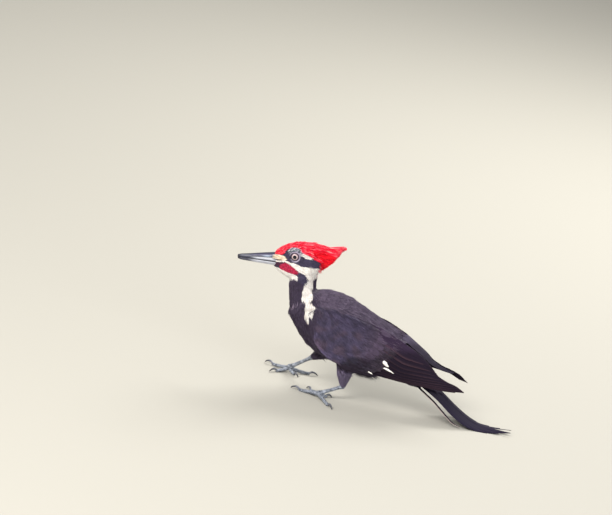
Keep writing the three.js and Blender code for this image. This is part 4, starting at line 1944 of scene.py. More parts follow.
    def painted(self, blade: Blade, part: str, base: Triple, pale: Triple, share: float) -> Mesh:
        """Colours long feathers, with painted shade low on the wing.

        Args:
            blade: the feathers.
            part: what they are called.
            base: their colour.
            pale: the colour of each feather's lower edge and tip.
            share: how much of it shows.

        Returns:
            Their mesh.
        """
        mesh = blade.mesh(f"wing_{self.side}_{part}")
        _, leaf = leaf_of(mesh)
        colour = plain(base, len(leaf))
        edge = np.maximum(ease(0.12, 0.0, leaf[:, 0]), ease(0.95, 1.0, leaf[:, 1]) * 0.7)
        group = np.arange(len(leaf)) * self.shade_groups // len(leaf)
        edge_dice = np.random.default_rng(6).uniform(0.55, 1.0, 64)
        base_dice = np.roll(edge_dice, 7)
        points = DRAWING.of(mesh)
        # painted shade: darker low on the wing, and below the shade edge
        low_shade = 0.42 + 0.6 * ease(54, 86, points[:, 2:])
        colour *= np.maximum(low_shade * self.shade(points), 0.36) * (0.75 + 0.35 * base_dice[group][:, None])
        lit = (edge * edge_dice[group])[:, None]
        colour += lit * (np.array(pale) - colour) * share * np.maximum(low_shade, 0.6)
        set_tint(mesh, colour)
        return mesh

    def show(self, mesh: Mesh) -> None:
        """Shows a painted group of long feathers."""
        finish_piece(mesh, self.plumage.material["blade"])

    def long_feathers(self) -> None:
        """Makes the quills, the tertials, the greater coverts over their roots, and the white flecks."""
        blade = Blade()
        for quill in self.quills:
            self.lay_quill(blade, quill)
        self.show(self.painted(blade, "quills", *self.quill_tone))
        blade = Blade(30)
        for end, width, layer in self.tertials:
            self.lay_tertial(blade, end, width, layer)
        self.show(self.painted(blade, "tertials", *self.tertial_tone))
        blade = Blade(16, COVERT_COLUMNS, 0.3, 0.12, 2)
        count = len(self.greater) - 1
        for shift, length, width, layer in self.covert_rows:
            for i, tip in enumerate(self.greater):
                share = i / count
                here = (tip[0] + shift, tip[1] - shift * (0.12 + 0.35 * share))
                turn = self.covert_heading - self.covert_fan * share
                self.lay_covert(blade, here, length, width, turn, layer - 1.0 + 1.5 * share)
        self.show(self.painted(blade, "great_coverts", *self.covert_tone))
        blade = Blade(12, (-1, -0.6, -0.1, 0.1, 0.6, 1), 0.25, 0.08, 2)
        for root, tip, width in self.flecks:
            along = np.subtract(tip, root)
            turn = math.degrees(math.atan2(along[1], along[0]))
            self.lay_covert(blade, tip, float(np.hypot(*along)), width, turn, 0.6 + (tip[1] - 50) * 0.03)
        mesh = blade.mesh(f"wing_{self.side}_flecks")
        dice = np.random.default_rng(9).random(len(mesh.vertices))
        set_tint(mesh, WHITE.pick(dice, dice))
        self.show(mesh)

    def covert_paint(self, points: Points, dice: Points) -> Points:
        """Blue black on the shoulder, browner towards the quills, with painted shade low on the wing and a
        painted highlight along its lower front edge.

        Args:
            points: places in drawing millimetres.
            dice: a chance from 0 to 1 for each.

        Returns:
            A linear colour for each.
        """
        again = another(dice)
        x, _, z = points.T
        warm = np.sin(x * 0.13 + 2.2 * np.sin(z * 0.09 + 1)) * np.sin(z * 0.17 + 1.8 * np.sin(x * 0.11 + 2))
        back = np.maximum(ease(35, 85, x), 0.75 * ease(0.1, 0.6, warm))[:, None]
        mottle_light_and_shade = (
            1 + 0.34 * np.sin(x * 0.27 + 1.5 * np.sin(z * 0.21)) * np.sin(z * 0.33 + 1.4 * np.sin(x * 0.17))
        )
        colour = BLUE_BLACK.pick(dice, again) * (1 - back) + BROWN_BLACK.pick(dice, again) * back * 1.1
        # painted shade low on the wing
        mottle_light_and_shade *= 0.6 + 0.4 * ease(48, 66, z)
        # a painted highlight along the wing's lower front edge
        mottle_light_and_shade *= 1 + 0.6 * ease(7, 2, 0.6 * (z - self.form.foot(x))) * ease(36, 14, x)
        mottle_light_and_shade = np.maximum(mottle_light_and_shade[:, None] * self.shade(points), 0.3)
        return np.where((x < -16)[:, None], MARKINGS.paint(points, dice), colour * mottle_light_and_shade)

    def build(self) -> None:
        """Makes the wing's pieces."""
        body = self.body()
        bed = Bed(body, WING_LIE)
        outer = self.sign * bed.facing[:, 1] > -0.25
        # the inner face is painted darker: painted shade in the gap between wing and body
        set_tint(body.data, np.where(outer[:, None], np.array(srgb(58, 53, 68)), np.array(srgb(34, 29, 42))))
        zone = ease(-2, -6, bed.points[:, 0] - self.behind(bed.points[:, 2])) * outer
        grow, name = self.plumage.grow, f"wing_{self.side}"
        inner = (bed.points[:, 0] > -12) & (self.form.top(bed.points[:, 0]) - bed.points[:, 2] > 10)
        grow(
            bed, Tract(f"{name}_coverts", VaneKind.PLUME, zone * inner, 2.4, 4.8, 1.4, 1.2, 4, seed=21),
            self.covert_paint,
        )
        bed.length *= 0.45 + 0.55 * ease(-1, -13, bed.points[:, 0] - self.behind(bed.points[:, 2]))
        grow(
            bed, Tract(f"{name}_covert_barbs", VaneKind.BARB, zone, 0.88, 0.85, 1.4, 5.5, 6, seed=22),
            self.covert_paint,
        )
        self.long_feathers()
        claim(body, self.plumage.material["plumage_black"], (name,))


# ---- Tail ----


@dataclass
class Tail:
    """Ten stiff pointed feathers, bent where they prop the bird, lower at the sides."""

    plumage: Plumage
    base: float = 104.0
    solid_base: float = 114.0
    height: Profile = Profile(
        (104, 61), (114, 57), (131, 49), (150, 40.5), (160, 34.8), (170, 28), (180, 21), (190, 14.8),
        (200, 9.3), (210, 5), (219, 2.6), (228, 2), (240, 2.6), (262, 5),
    )
    slack: Profile = Profile(
        (104, 52), (120, 46.5), (145, 33.5), (155, 27.5), (165, 20), (175, 12.5), (185, 5.5), (196, 2.4)
    )
    # where each feather ends, how far aside, how far it hangs, and its half width
    feathers: tuple = (
        (196, 21.5, 0.0, 2.5), (214, 17, 2.6, 6.0), (232, 13.5, 1.6, 6.4), (247, 9.5, 0.8, 6.8),
        (262, 5, 0, 6.4),
    )
    half: Profile = Profile((0, 0.62), (0.25, 0.9), (0.6, 1), (0.82, 0.78), (0.94, 0.34), (1, 0.08))
    fan: Profile = Profile((0, 0.45), (0.4, 0.85), (1, 1))
    # the coverts over its base, in the same way
    coverts: tuple = ((150, 15, -1.0, 5.0), (158, 9, -1.6, 5.5), (164, 3, -2.2, 5.5))
    roof: float = 0.3
    dark: Triple = srgb(27, 21, 40)
    web: Triple = srgb(44, 37, 55)
    buff: Triple = srgb(176, 158, 152)
    covert_tone: Triple = srgb(46, 40, 54)

    def feather(self, blade: Blade, side: int, spec: tuple, rng: np.random.Generator) -> None:
        """Adds one tail feather.

        Args:
            blade: the feathers to add to.
            side: 1 or -1, across the bird.
            spec: its row in feathers or coverts.
            rng: where its splits come from.
        """
        end, spread, droop, widest = spec
        x = np.linspace(self.base, end, blade.rings)
        t = np.clip((x - self.solid_base) / (end - self.solid_base), 0, 1)
        z = self.height(x) - droop if droop or end > 250 else self.slack(x)
        path = np.column_stack([x, side * spread * self.fan(t), np.maximum(0.6, z)])
        across = unit(
            np.column_stack([np.zeros(len(x)), np.full(len(x), float(side)), np.full(len(x), -self.roof)])
        )
        over = np.cross(unit(np.gradient(path, axis=0)), across)
        over = unit(over * np.sign(over[:, 2:3]))
        blade.add(path, across, over, widest * self.half(t), 0.5, rng)

    def paint(self, mesh: Mesh, outermost: int) -> None:
        """Black, with the outermost pair, the mesh's first vertices, edged in pale buff.

        Args:
            mesh: the feathers.
            outermost: how many vertices that pair has.
        """
        points = DRAWING.of(mesh)
        _, leaf = leaf_of(mesh)
        colour = plain(self.dark, len(points))
        web = ease(0.1, 0.0, leaf[:, 0]) + ease(0.9, 1.0, leaf[:, 0])
        colour += web[:, None] * (np.array(self.web) - colour) * 0.4
        edged = (np.arange(len(points)) < outermost) & (leaf[:, 0] > 0.9) & (points[:, 0] > 138)
        colour[edged] = self.buff
        set_tint(mesh, colour)

    def build(self) -> None:
        """Makes the tail."""
        blade = Blade(46, thick=0.55, shaft=0.45)
        rng = np.random.default_rng(5)
        for spec in self.feathers:
            for side in (1, -1):
                self.feather(blade, side, spec, rng)
        mesh = blade.mesh("tail_feathers")
        points = vertices(mesh)
        points[:, 2] = np.maximum(points[:, 2], 0.0)
        place_vertices(mesh, points)
        self.paint(mesh, 2 * (blade.rings * 2 * len(blade.columns) + 2))
        finish_piece(mesh, self.plumage.material["blade"], ("tail",))
        blade = Blade(20, COVERT_COLUMNS, 0.4, 0.1, 2)
        for spec in self.coverts:
            for side in (1, -1):
                self.feather(blade, side, spec, rng)
        mesh = blade.mesh("tail_coverts")
        set_tint(mesh, plain(self.covert_tone, len(mesh.vertices)))
        finish_piece(mesh, self.plumage.material["blade"])


# ---- Bill ----


@dataclass
class Bill:
    """A straight chisel bill in two halves, ridged above and along its sides."""

    tip: float = -140.0
    base: float = -82.0
    rings: int = 60
    sides: int = 56
    half: Profile = Profile(
        (-140, 1.7), (-136.5, 2.6), (-124.5, 4.3), (-109.5, 6.1), (-94.5, 7.8), (-82, 8.7)
    )
    ridge: Profile = Profile(
        (-140, 158.0), (-136.5, 159.5), (-124.5, 163), (-109, 167.7), (-94, 172), (-82, 175)
    )
    lip: Profile = Profile((-140, 155.2), (-124.5, 157.3), (-109.5, 159.4), (-94.5, 161.3), (-82, 162.9))
    keel: Profile = Profile(
        (-139.3, 152.7), (-135, 152.0), (-125, 152.6), (-112, 153.4), (-104, 154.2), (-94.5, 155),
        (-82, 156),
    )

    def section(self, x: float, upper: bool) -> Points:
        """One half's outline at x: its ridge, its side groove, and its sharp cutting edge.

        Args:
            x: where to cut.
            upper: which half.

        Returns:
            The outline's points.
        """
        angle = np.linspace(0, 2 * np.pi, self.sides, endpoint=False)
        sign = 1 if upper else -1
        half, lip = float(self.half(x)) * (1 if upper else 0.93), float(self.lip(x)) - (0 if upper else 0.3)
        reach = (float(self.ridge(x)) - lip) if upper else (lip - float(self.keel(x)))
        rise = np.maximum(0, sign * np.sin(angle)) ** (0.9 if upper else 0.8)
        wide = np.sign(np.cos(angle)) * np.abs(np.cos(angle)) ** 0.9
        back = ease(-130, -108, np.array(x))
        groove = 0.12 * bump(rise, 0.5, 0.11) * back - 0.05 * bump(rise, 0.3, 0.08) * back
        wide = wide * (1 - (groove if upper else groove * 0.5))
        hollow = 0.5 * np.maximum(0, -sign * np.sin(angle))
        return np.column_stack([np.full(self.sides, x), half * wide, lip + sign * (rise * reach + hollow)])

    def paint(self, points: Points, upper: bool) -> Points:
        """Slate above with a dark ridge, tip and groove, a silver stripe and a small painted highlight;
        silver below with a dark tip and painted shade underneath.

        Args:
            points: places in drawing millimetres.
            upper: which half.

        Returns:
            A linear colour for each.
        """
        x, z = points[:, 0], points[:, 2]
        lip = self.lip(x)
        far = np.maximum((self.ridge(x) - lip) if upper else (lip - self.keel(x)), 0.1)
        high = np.clip(np.abs(z - lip) / far, 0, 1)
        back = ease(-126, -112, x)
        base, dark, silver = (np.array(c) for c in (srgb(54, 56, 74), srgb(26, 26, 40), srgb(190, 192, 202)))
        if upper:
            layers = (
                (ease(0.6, 0.75, high) * ease(-128, -116, x) * 0.55, srgb(66, 58, 96)),
                (bump(high, 0.27, 0.13) * back, silver),
                (bump(high, 0.48, 0.06) * back * 0.8, dark),
                # a painted highlight high on the side
                (bump(high, 0.64, 0.09) * bump(x, -101, 5), srgb(160, 176, 198)),
                (ease(0.1, 0.03, high) * 0.9, dark),
                (ease(0.84, 0.97, high) * 0.75, dark),
                (ease(0.5, 0.1, high) * ease(-112, -124, x) * 0.7, dark),
            )
        else:
            base = silver
            layers = (
                (ease(0.1, 0.03, high), dark),
                (bump(high, 0.5, 0.1) * back * 0.5, srgb(120, 122, 140)),
                # painted shade on the underside, towards the keel
                (ease(0.7, 0.95, high) * 0.55, srgb(120, 106, 112)),
                (ease(-112, -127, x), srgb(62, 62, 78)),
            )
        colour = plain(base, len(points))
        for share, tone in (*layers, (ease(-134.5, -138, x) * 0.9, dark)):
            colour += share[:, None] * (np.array(tone) - colour)
        return colour

    def build(self) -> None:
        """Makes both halves."""
        for name, slot, gloss in (("upper", "horn_slate", 0.3), ("lower", "horn_pale", 0.34)):
            upper = name == "upper"
            tip = self.tip + (0 if upper else 0.7)
            at = tip + (self.base - tip) * np.linspace(0, 1, self.rings) ** 1.3
            shell = Shell()
            shell.loft(np.array([self.section(x, upper) for x in at]))
            mesh = shell.mesh(f"bill_{name}_horn")
            set_tint(mesh, self.paint(DRAWING.of(mesh), upper))
            finish_piece(mesh, HornFinish(f"{name}_horn", gloss).make(), (f"bill_{name}",))


# ---- Eyes ----


@dataclass
class Eyes:
    """Two wet eyes in rings of bare skin."""

    radius: float = 6.2
    lid: tuple = (4.5, 4.9, 5.4, 5.9, 6.4, 6.9, 7.7)
    lid_rise: tuple = (0.12, 0.4, 0.5, 0.42, 0.6, 0.45, -0.3)
    turns: int = 72

    def ball(self, side: int) -> Points:
        """The eye's rings, from its pupil to its back.

        Args:
            side: -1 for the left, 1 for the right.

        Returns:
            The rings.
        """
        turn = np.linspace(0, np.pi, 40)[1:-1, None]
        round_ = np.linspace(0, 2 * np.pi, 56, endpoint=False)[None]
        centre = Drawing.BALL * (1, -side, 1)
        aside = self.radius * np.sin(turn)
        away = np.broadcast_to(centre[1] + side * self.radius * np.cos(turn), (turn.size, round_.size))
        return np.stack([centre[0] + aside * np.cos(round_), away, centre[2] + aside * np.sin(round_)], -1)

    def lids(self, side: int, skin: "SkinFinder") -> tuple[Points, Points]:
        """The ring of bare skin, from the eye's surface out under the feathers, with its map.

        Args:
            side: -1 for the left, 1 for the right.
            skin: finds the skin that the ring lies on.

        Returns:
            The ring's sections and their places on the feather map.
        """
        centre = Drawing.BALL * (1, -side, 1)
        across = [i / (len(self.lid) - 1) for i in range(len(self.lid))]
        rings, leaf = [], []
        for turn in np.linspace(0, 2 * np.pi, self.turns, endpoint=False):
            row = []
            for reach, rise in zip(self.lid, self.lid_rise):
                x, z = centre[0] + reach * math.cos(turn), centre[2] + reach * math.sin(turn)
                ball = abs(centre[1]) + math.sqrt(self.radius**2 - min(reach, 5.2) ** 2)
                share = min(max((reach - 5.2) / 1.8, 0), 1)
                under = skin.out(x, z, side)
                row.append(
                    (x, side * max(ball * (1 - share) + under * share + rise, under + min(rise, 0.2)), z)
                )
            rings.append(row + [(x, y - side * 1.1, z) for x, y, z in row[::-1]])
            leaf.append([(a, turn / (2 * math.pi)) for a in across + across[::-1]])
        return np.array(rings), np.array(leaf)

    def build(self, skin: "SkinFinder") -> None:
        """Makes the eyes and their lids.

        Args:
            skin: finds the skin that the lids lie on.
        """
        wet, bare = EyeFinish().make(), LidFinish().make()
        for name, side in SIDES.items():
            shell = Shell()
            shell.loft(self.ball(side))
            finish_piece(shell.mesh(f"eyeball_{name}"), wet, (f"eye_{name}",))
            shell = Shell()
            shell.ring(*self.lids(side, skin))
            finish_piece(shell.mesh(f"eyelid_{name}"), bare)


@dataclass
class SkinFinder:
    """Finds how far out the skin lies at the bird's sides."""

    skin: Object
    tree: BVHTree = field(init=False)

    def __post_init__(self) -> None:
        """Builds the search tree."""
        self.tree = search_tree(self.skin.data)

    def out(self, x: float, z: float, side: int, missing: float = 8.0) -> float:
        """How far out the skin lies at a place on one side."""
        start = Vector(DRAWING.to_model(np.array([x, side * 60.0, z])))
        hit = self.tree.ray_cast(start, Vector((0, -side, 0)))[0]
        return missing if hit is None else abs(float(DRAWING.to_drawing(np.array(hit))[1]))


def tube(path: Points, radius: Points, sides: int, swell: Points | float = 1.0) -> Points:
    """Rings of a round limb.

    Args:
        path: its middle line.
        radius: its radius at each point.
        sides: how many points go round it.
        swell: how much each point stands out or in, as a share of the radius.

    Returns:
        The rings, kept above the floor.
    """
    ahead = unit(np.gradient(path, axis=0))
    across = unit(np.cross(np.array([0.0, 0.0, 1.0]), ahead) + 1e-9)
    over = np.cross(ahead, across)
    turn = np.linspace(0, 2 * np.pi, sides, endpoint=False)
    reach = radius[:, None] * swell
    rings = (
        path[:, None]
        + across[:, None] * (np.cos(turn)[None] * reach)[..., None]
        + over[:, None] * (np.sin(turn)[None] * reach)[..., None]
    )
    rings[..., 2] = np.maximum(rings[..., 2], 0.0)
    return rings


# ---- Legs ----


@dataclass(frozen=True)
class Toe:
    """A toe: its number, its bearing from straight ahead, its length and its claw's."""

    number: int
    bearing: float
    length: float
    claw: float


@dataclass
class Leg:
    """A bare shank and four toes with hooked claws."""

    side: str
    hip: Triple
    heel: Triple
    palm: Triple
    toes: tuple[Toe, ...]
    shank_radius: Profile = Profile(
        (0, 0.8), (0.05, 2.4), (0.14, 3.3), (0.3, 3), (0.52, 2.25), (0.76, 2.7), (0.93, 4), (1, 2.7)
    )
    toe_radius: Profile = Profile((0, 3.0), (0.35, 2.5), (0.7, 2.2), (0.93, 2.05), (1, 1.2))
    claw_radius: Profile = Profile((0, 1.2), (0.22, 1.5), (0.6, 0.95), (0.88, 0.45), (1, 0.12))

    def place(self, point: Triple) -> Points:
        """A point of this leg, on its own side."""
        return np.array(point) * (1, SIDES[self.side], 1)

    def limb(self, path: Points, radius: Points, sides: int, plates: int) -> Shell:
        """A round limb with overlapping plates in front.

        Args:
            path: its middle line.
            radius: its radius at each point.
            sides: how many points go round it.
            plates: how many plates lie along it.

        Returns:
            The limb, with each plate's place on its map.
        """
        turn = np.linspace(0, 2 * np.pi, sides, endpoint=False)
        v = np.linspace(0, 1, len(path))[:, None]
        lip = (v * plates) % 1.0
        front = np.clip(np.sin(turn), 0, 1)[None] ** 0.5
        shell = Shell()
        leaf = paired(turn[None] / (2 * np.pi), v * plates)
        shell.loft(tube(path, radius, sides, 1 + 0.17 * (lip - 0.4) * front), leaf)
        return shell

    def on_toe(self, toe: Toe, reach: float, height: float) -> Points:
        """A point on a toe's line, out from the palm by reach."""
        turn = math.radians(toe.bearing)
        x, y, _ = self.place(self.palm)
        return np.array([x - math.cos(turn) * reach, y + SIDES[self.side] * math.sin(turn) * reach, height])

    def shank(self, scales: Material) -> None:
        """Makes the bare shank, from inside the thigh's feathers to the palm.

        Args:
            scales: the finish of the skin.
        """
        heel, palm = self.place(self.heel), self.place(self.palm)
        path = smooth_path([heel + (palm - heel) * t for t in (-0.09, 0.0, 0.12, 0.5, 0.85, 1.06)], 110)
        v = np.linspace(0, 1, len(path))
        mesh = self.limb(path, self.shank_radius(v), 24, 15).mesh(f"shank_{self.side}")
        finish_piece(mesh, scales, (f"tarsus_{self.side}",))

    def toe(self, toe: Toe, scales: Material, horn: Material) -> None:
        """Makes a toe with its joints and pads, and its claw: deep, narrow and hooked to the floor.

        Args:
            toe: the toe.
            scales: the finish of the skin.
            horn: the finish of the claw.
        """
        path = smooth_path(
            [
                self.on_toe(toe, 0.0, self.palm[2] - 1.0),
                self.on_toe(toe, toe.length * 0.35, 4.1),
                self.on_toe(toe, toe.length * 0.7, 2.6),
                self.on_toe(toe, toe.length + 0.8, 1.9),
            ],
            80,
        )
        v = np.linspace(0, 1, len(path))
        joints = 0.12 * sum(bump(v, at, 0.05) for at in (0.33, 0.62, 0.92))
        radius = self.toe_radius(v) * (0.93 + joints)
        name = f"toe_{self.side}_{toe.number}"
        shell = self.limb(path, radius, 18, max(7, round(toe.length / 2.0)))
        finish_piece(shell.mesh(f"{name}_scaly"), scales, (name,))
        stops = (
            (-1.8, 2.2), (toe.claw * 0.3, 4.6), (toe.claw * 0.66, 4.0), (toe.claw * 0.92, 1.9),
            (toe.claw, 0.3),
        )
        path = smooth_path([self.on_toe(toe, toe.length + out, height) for out, height in stops], 30)
        v = np.linspace(0, 1, len(path))
        leaf = paired(np.linspace(0, 1, 14)[None], v[:, None])
        shell = Shell()
        shell.loft(tube(path, self.claw_radius(v), 14), leaf)
        name = f"claw_{self.side}_{toe.number}"
        finish_piece(shell.mesh(f"{name}_horn"), horn, (name,))

    def build(self, scales: Material, horn: Material) -> None:
        """Makes the leg's bare parts.

        Args:
            scales: the finish of the skin.
            horn: the finish of the claws.
        """
        self.shank(scales)
        for toe in self.toes:
            self.toe(toe, scales, horn)


LEGS = (
    Leg("left", (31, 20, 58), (33, 19, 18.5), (4.5, 31, 5.6),
        (Toe(3, -15, 28, 12), Toe(2, -50, 19, 10.5), Toe(4, 126, 30, 11.5), Toe(1, -152, 12, 8))),
    Leg("right", (8, 20, 58), (-19, 21, 33.5), (-47, 37, 7.2),
        (Toe(3, 24, 27, 12), Toe(2, -36, 19, 10.5), Toe(4, 166, 28, 11.5), Toe(1, -138, 12, 8))),
)


# ---- The coat ----


@dataclass
class Coat:
    """The skin and all the small feathers on it."""

    plumage: Plumage
    form: WingForm
    # how far the bare ring reaches from the ball's middle, and from a point just ahead of it
    lid: float = 6.8
    front_lid: float = 7.4
    bill_root: float = -89.5
    chin: float = 143.0
    nape: float = -22.0
    # how far from a thigh's solid its feathers grow, and their length
    leg_reach: float = 3.2
    leg_length: float = 5.5
    heading: Points = field(init=False)
    nasal: Points = field(init=False)
    open: Points = field(init=False)
    leg: Points = field(init=False)
    head: Points = field(init=False)
    red: Points = field(init=False)
    covered: Points = field(init=False)

    def zones(self, bed: Bed) -> None:
        """Works out which part of the bird each place on the bed belongs to.

        Args:
            bed: the skin with its lie.
        """
        x, y, z = bed.points.T
        seen = side_view(bed.points)
        reach = np.hypot(x - Drawing.BALL[0], z - Drawing.BALL[2])
        ahead = np.hypot(x - Drawing.BALL[0] + 1.6, z - Drawing.BALL[2] + 0.6)
        near_eye = ((reach < self.lid) | (ahead < self.front_lid)) & (np.abs(y) > 6)
        bill = (x < self.bill_root) & (np.abs(y) < 8.4) & (z > 155) & (z < 173)
        self.nasal = (inside(NASAL, seen) > 0) & (np.abs(y) > 4)
        self.open = ~(near_eye | bill) & ~(self.nasal & (x < -79.5))
        self.leg = np.zeros(len(x), bool)
        for limb in LEGS:
            hip, heel = limb.place(limb.hip), limb.place(limb.heel)
            near = distances(f"thigh_{limb.side}", vertices(bed.obj.data)) * 1000 < self.leg_reach
            mine = near & (z < 42)
            self.leg |= mine
            self.heading[mine] = unit(heel - hip)
            bed.length[mine] = self.leg_length
        self.head = (z > self.chin) & (x < self.nape)
        self.red = inside(np.array(Markings.CAP.outline, float), seen) > -1
        low, high = self.form.foot(x), self.form.top(x)
        t = (z - low) / np.maximum(high - low, 1)
        deep = self.form.out(x, z) - np.abs(y)
        self.covered = (x > -24) & (x < 132) & (t > 0.12) & (t < 0.86) & (deep > 2.0) & (deep < 16)

    def trim_crest(self, bed: Bed, crest: Points) -> None:
        """Shortens the crest's locks so that they end at its ragged outline.

        Args:
            bed: the skin with its lie.
            crest: which places are on the crest.
        """
        start = bed.points[crest][:, [0, 2]]
        ahead = unit(bed.flow[crest][:, [0, 2]])
        free = np.zeros(len(start))
        for step in np.arange(0.5, 20, 0.75):
            still = inside(CREST_OUTLINE, start + ahead * step) > 0
            free = np.where(still & (free >= step - 0.8), step, free)
        ragged = np.random.default_rng(8).uniform(-2.2, 1.2, len(start))
        bed.length[crest] = np.clip(free + ragged, 3.5, bed.length[crest])

    def build(self) -> Object:
        """Makes the skin and its coat.

        Returns:
            The skin.
        """
        skin = Skin().build()
        bed = Bed(skin, BODY_LIE)
        self.heading, _ = BODY_LIE.at(bed.points)
        self.zones(bed)
        bed.comb(self.heading)
        dice = np.random.default_rng(3).random(len(bed.points))
        # the skin takes the markings a little darker: painted shade under the coat
        set_tint(skin.data, MARKINGS.paint(bed.points, dice * 0.2) * 0.85)
        x, _, z = bed.points.T
        crest = self.red & (x > -52)
        crown = self.red & ~crest & self.open
        face = self.head & ~self.red & self.open
        fore = ~self.head & ~self.leg & ((x < -24) | ((z > 118) & (x < -12)))
        upward = bed.facing[:, 2]
        hidden = (
            ((x > 112) & (z < 50) & ((bed.facing[:, 0] > 0.3) | (z < 42)))
            | ((x > 88) & (z > 50) & (upward < 0.3))
        )
        rest = ~self.head & ~self.leg & ~fore & ~self.covered & ~hidden
        back = rest & (z > 84 - 0.25 * x)
        rump = rest & (x > 94) & (z > 50)
        vent = rest & (z < 41) & (x > 36) & (x < 66)
        self.trim_crest(bed, crest)
        kind = VaneKind
        for tract in (
            Tract("face_feathers", kind.BARB, face, 0.62, 0.62, 1.05, 5, 9, seed=31),
            Tract("crown_feathers", kind.LOCK, crown, 0.72, 0.62, 1.0, 5, 6, seed=32, slot="plumage_red"),
            Tract("crest_feathers", kind.LOCK, crest, 0.72, 0.75, 1.0, 4, 6, seed=33, slot="plumage_red"),
            Tract("neck_feathers", kind.BARB, fore, 0.92, 0.8, 1.1, 4, 7, seed=34),
            Tract("body_plumes", kind.PLUME, rest & (z > 47) & ~rump, 2.4, 4.6, 1.1, 1.2, 4, seed=35),
            Tract("rump_plumes", kind.PLUME, rump, 2.2, 6.0, 1.1, 0.4, 2, seed=44),
            Tract("back_barbs", kind.BARB, back & ~rump, 0.98, 0.75, 1.15, 5, 6, seed=40),
            Tract("belly_barbs", kind.BARB, rest & ~back, 1.0, 0.75, 1.0, 4, 7, seed=36),
            Tract("vent_fluff", kind.BARB, vent, 1.1, 0.6, 1.0, 26, 20, seed=38),
            Tract("thigh_feathers", kind.BARB, self.leg, 0.8, 0.8, 1.15, 7, 9, seed=37),
        ):
            self.plumage.grow(bed, tract)
        nose = Bed(skin, BRISTLE_LIE)
        self.plumage.grow(nose, Tract("nasal_bristles", kind.LOCK, self.nasal, 0.6, 0.42, 1.0, 5, 6, seed=39))
        self.shoulders()
        claim(skin, SkinFinish().make(), Skin.nodes)
        return skin

    def shoulders(self) -> None:
        """Grows the scapulars, which cover the join of back and wings."""
        skin = Skin()
        body = skin.fused("shoulders", ("neck", "trunk", "wing_left", "wing_right"), 1.3, 1.6, 12)
        skin.largest(body)
        points = DRAWING.of(body.data) - normals(body.data) * 2.4
        place_vertices(body.data, DRAWING.to_model(points))
        skin.unwrap(body)
        bed = Bed(body, BODY_LIE)
        x, y, z = bed.points.T
        over = z - self.form.top(x)
        reach = 15 - 10 * ease(40, 100, x)
        band = ease(-reach, 6 - reach, over) * ease(16, 10, over)
        where = band * ease(96, 88, x) * (np.abs(y) > 4)
        front = (
            ease(-44, -40, x) * ease(-10, -18, x) * ease(72, 80, z) * (over < 12)
            * (np.abs(y) > 4)
        )
        grow = self.plumage.grow
        grow(
            bed,
            Tract("scapular_feathers", VaneKind.PLUME, where * (x > 64), 2.4, 4.6, 1.2, 0.6, 4, seed=41),
        )
        grow(bed, Tract("scapular_barbs", VaneKind.BARB, where * (x > -20), 0.9, 0.8, 1.25, 5.5, 6, seed=42))
        grow(bed, Tract("shoulder_barbs", VaneKind.BARB, front, 0.85, 0.75, 1.0, 3, 6, seed=43))
        bpy.data.objects.remove(body)


# ---- Studio ----


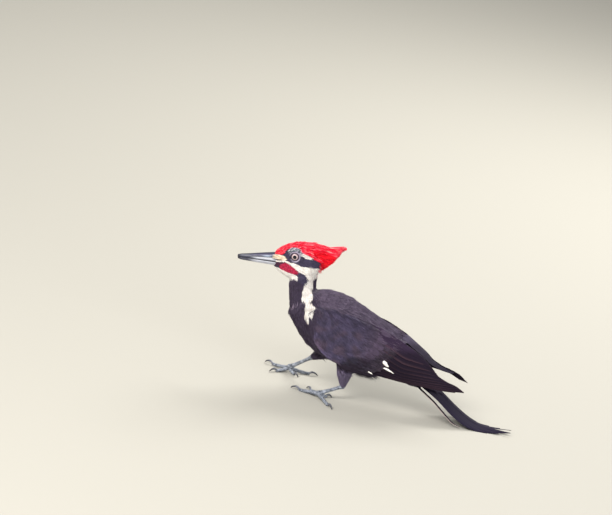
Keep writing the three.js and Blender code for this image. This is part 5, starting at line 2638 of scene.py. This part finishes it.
@dataclass
class Studio:
    """A pale floor, soft lights and the camera."""

    azimuth: float = 6.0
    elevation: float = 18.0
    roll: float = 11.5
    distance: float = 4.0
    view_width: float = 0.814
    aside: float = -0.016
    above: float = 0.1749
    # each lamp's name, place, size in metres, power in watts, and colour
    lamps: tuple = (
        ("key", (-1.1, -1.5, 1.9), 1.3, 74, (1.0, 0.97, 0.93)),
        ("fill", (1.6, -1.5, 1.0), 1.6, 22, (0.92, 0.95, 1.0)),
        ("rim", (0.6, 1.6, 1.6), 1.2, 48, (1.0, 0.98, 0.94)),
    )
    floor_reach: float = 6.0
    daylight: float = 0.75

    def axes(self) -> Matrix:
        """The camera's right, up and back.

        Returns:
            The three as a matrix's columns.
        """
        a, e, r = (math.radians(angle) for angle in (self.azimuth, self.elevation, self.roll))
        right = Vector((math.cos(a), math.sin(a), 0))
        up = Vector((-math.sin(e) * math.sin(a), math.sin(e) * math.cos(a), math.cos(e)))
        turned = right * math.cos(r) + up * math.sin(r)
        risen = up * math.cos(r) - right * math.sin(r)
        return Matrix((turned, risen, right.cross(up))).transposed()

    def camera(self) -> None:
        """Sets the camera."""
        data = bpy.data.cameras.new("camera")
        data.sensor_width = 36.0
        data.lens = data.sensor_width * self.distance / self.view_width
        data.clip_end = 50.0
        camera = put(data)
        axes = self.axes()
        right, up, back = axes.col
        middle = Vector(DRAWING.to_model(np.zeros(3))) + right * self.aside + up * self.above
        camera.matrix_world = Matrix.Translation(middle + back * self.distance) @ axes.to_4x4()
        bpy.context.scene.camera = camera

    def light(self, name: str, place: Triple, size: float, power: float, colour: Triple) -> None:
        """Adds a soft light that faces the bird.

        Args:
            name: its name.
            place: where it stands, in metres.
            size: how wide it is, in metres.
            power: its power in watts.
            colour: its colour.
        """
        data = bpy.data.lights.new(name, "AREA")
        data.shape, data.size, data.energy, data.color = "DISK", size, power, colour
        lamp = put(data)
        lamp.location = place
        lamp.rotation_euler = (Vector((0, 0, 0.1)) - Vector(place)).to_track_quat("-Z", "Y").to_euler()

    def build(self) -> None:
        """Makes the studio."""
        wide = self.floor_reach
        mesh = bpy.data.meshes.new("floor")
        square = [(-wide, -wide, 0), (wide, -wide, 0), (wide, wide, 0), (-wide, wide, 0)]
        mesh.from_pydata(square, [], [(0, 1, 2, 3)])
        floor = put(mesh)
        mesh.materials.append(FloorFinish().make())
        for lamp in self.lamps:
            self.light(*lamp)
        world = bpy.data.worlds.new("sky")
        world.use_nodes = True
        colour, strength = world.node_tree.nodes["Background"].inputs[:2]
        colour.default_value, strength.default_value = (*srgb(236, 236, 234), 1), self.daylight
        bpy.context.scene.world = world
        bpy.context.scene.view_settings.view_transform = "Standard"
        self.camera()


def main() -> None:
    """Builds the bird and its studio."""
    logging.basicConfig(level=logging.INFO, format="%(name)s %(message)s")
    plumage = Plumage()
    trim = Profile((100, 0), (118, 2.5), (130, 3.5), (140, 5.5), (148, 3), (156, 0.5), (165, 0))
    rise = Profile((118, 0), (140, 7.6), (160, 6.6), (174, 3.2), (186, 0.4), (192, 0))
    wings = (Wing("left", plumage), Wing("right", plumage, drop=3.0, trim=trim, rise=rise))
    skin = SkinFinder(Coat(plumage, wings[0].form).build())
    for wing in wings:
        wing.build()
    Tail(plumage).build()
    Bill().build()
    Eyes().build(skin)
    scales, horn = ScuteFinish().make(), ClawFinish().make()
    for leg in LEGS:
        leg.build(scales, horn)
    plumage.clear()
    Studio().build()


if __name__ == "__main__":
    main()
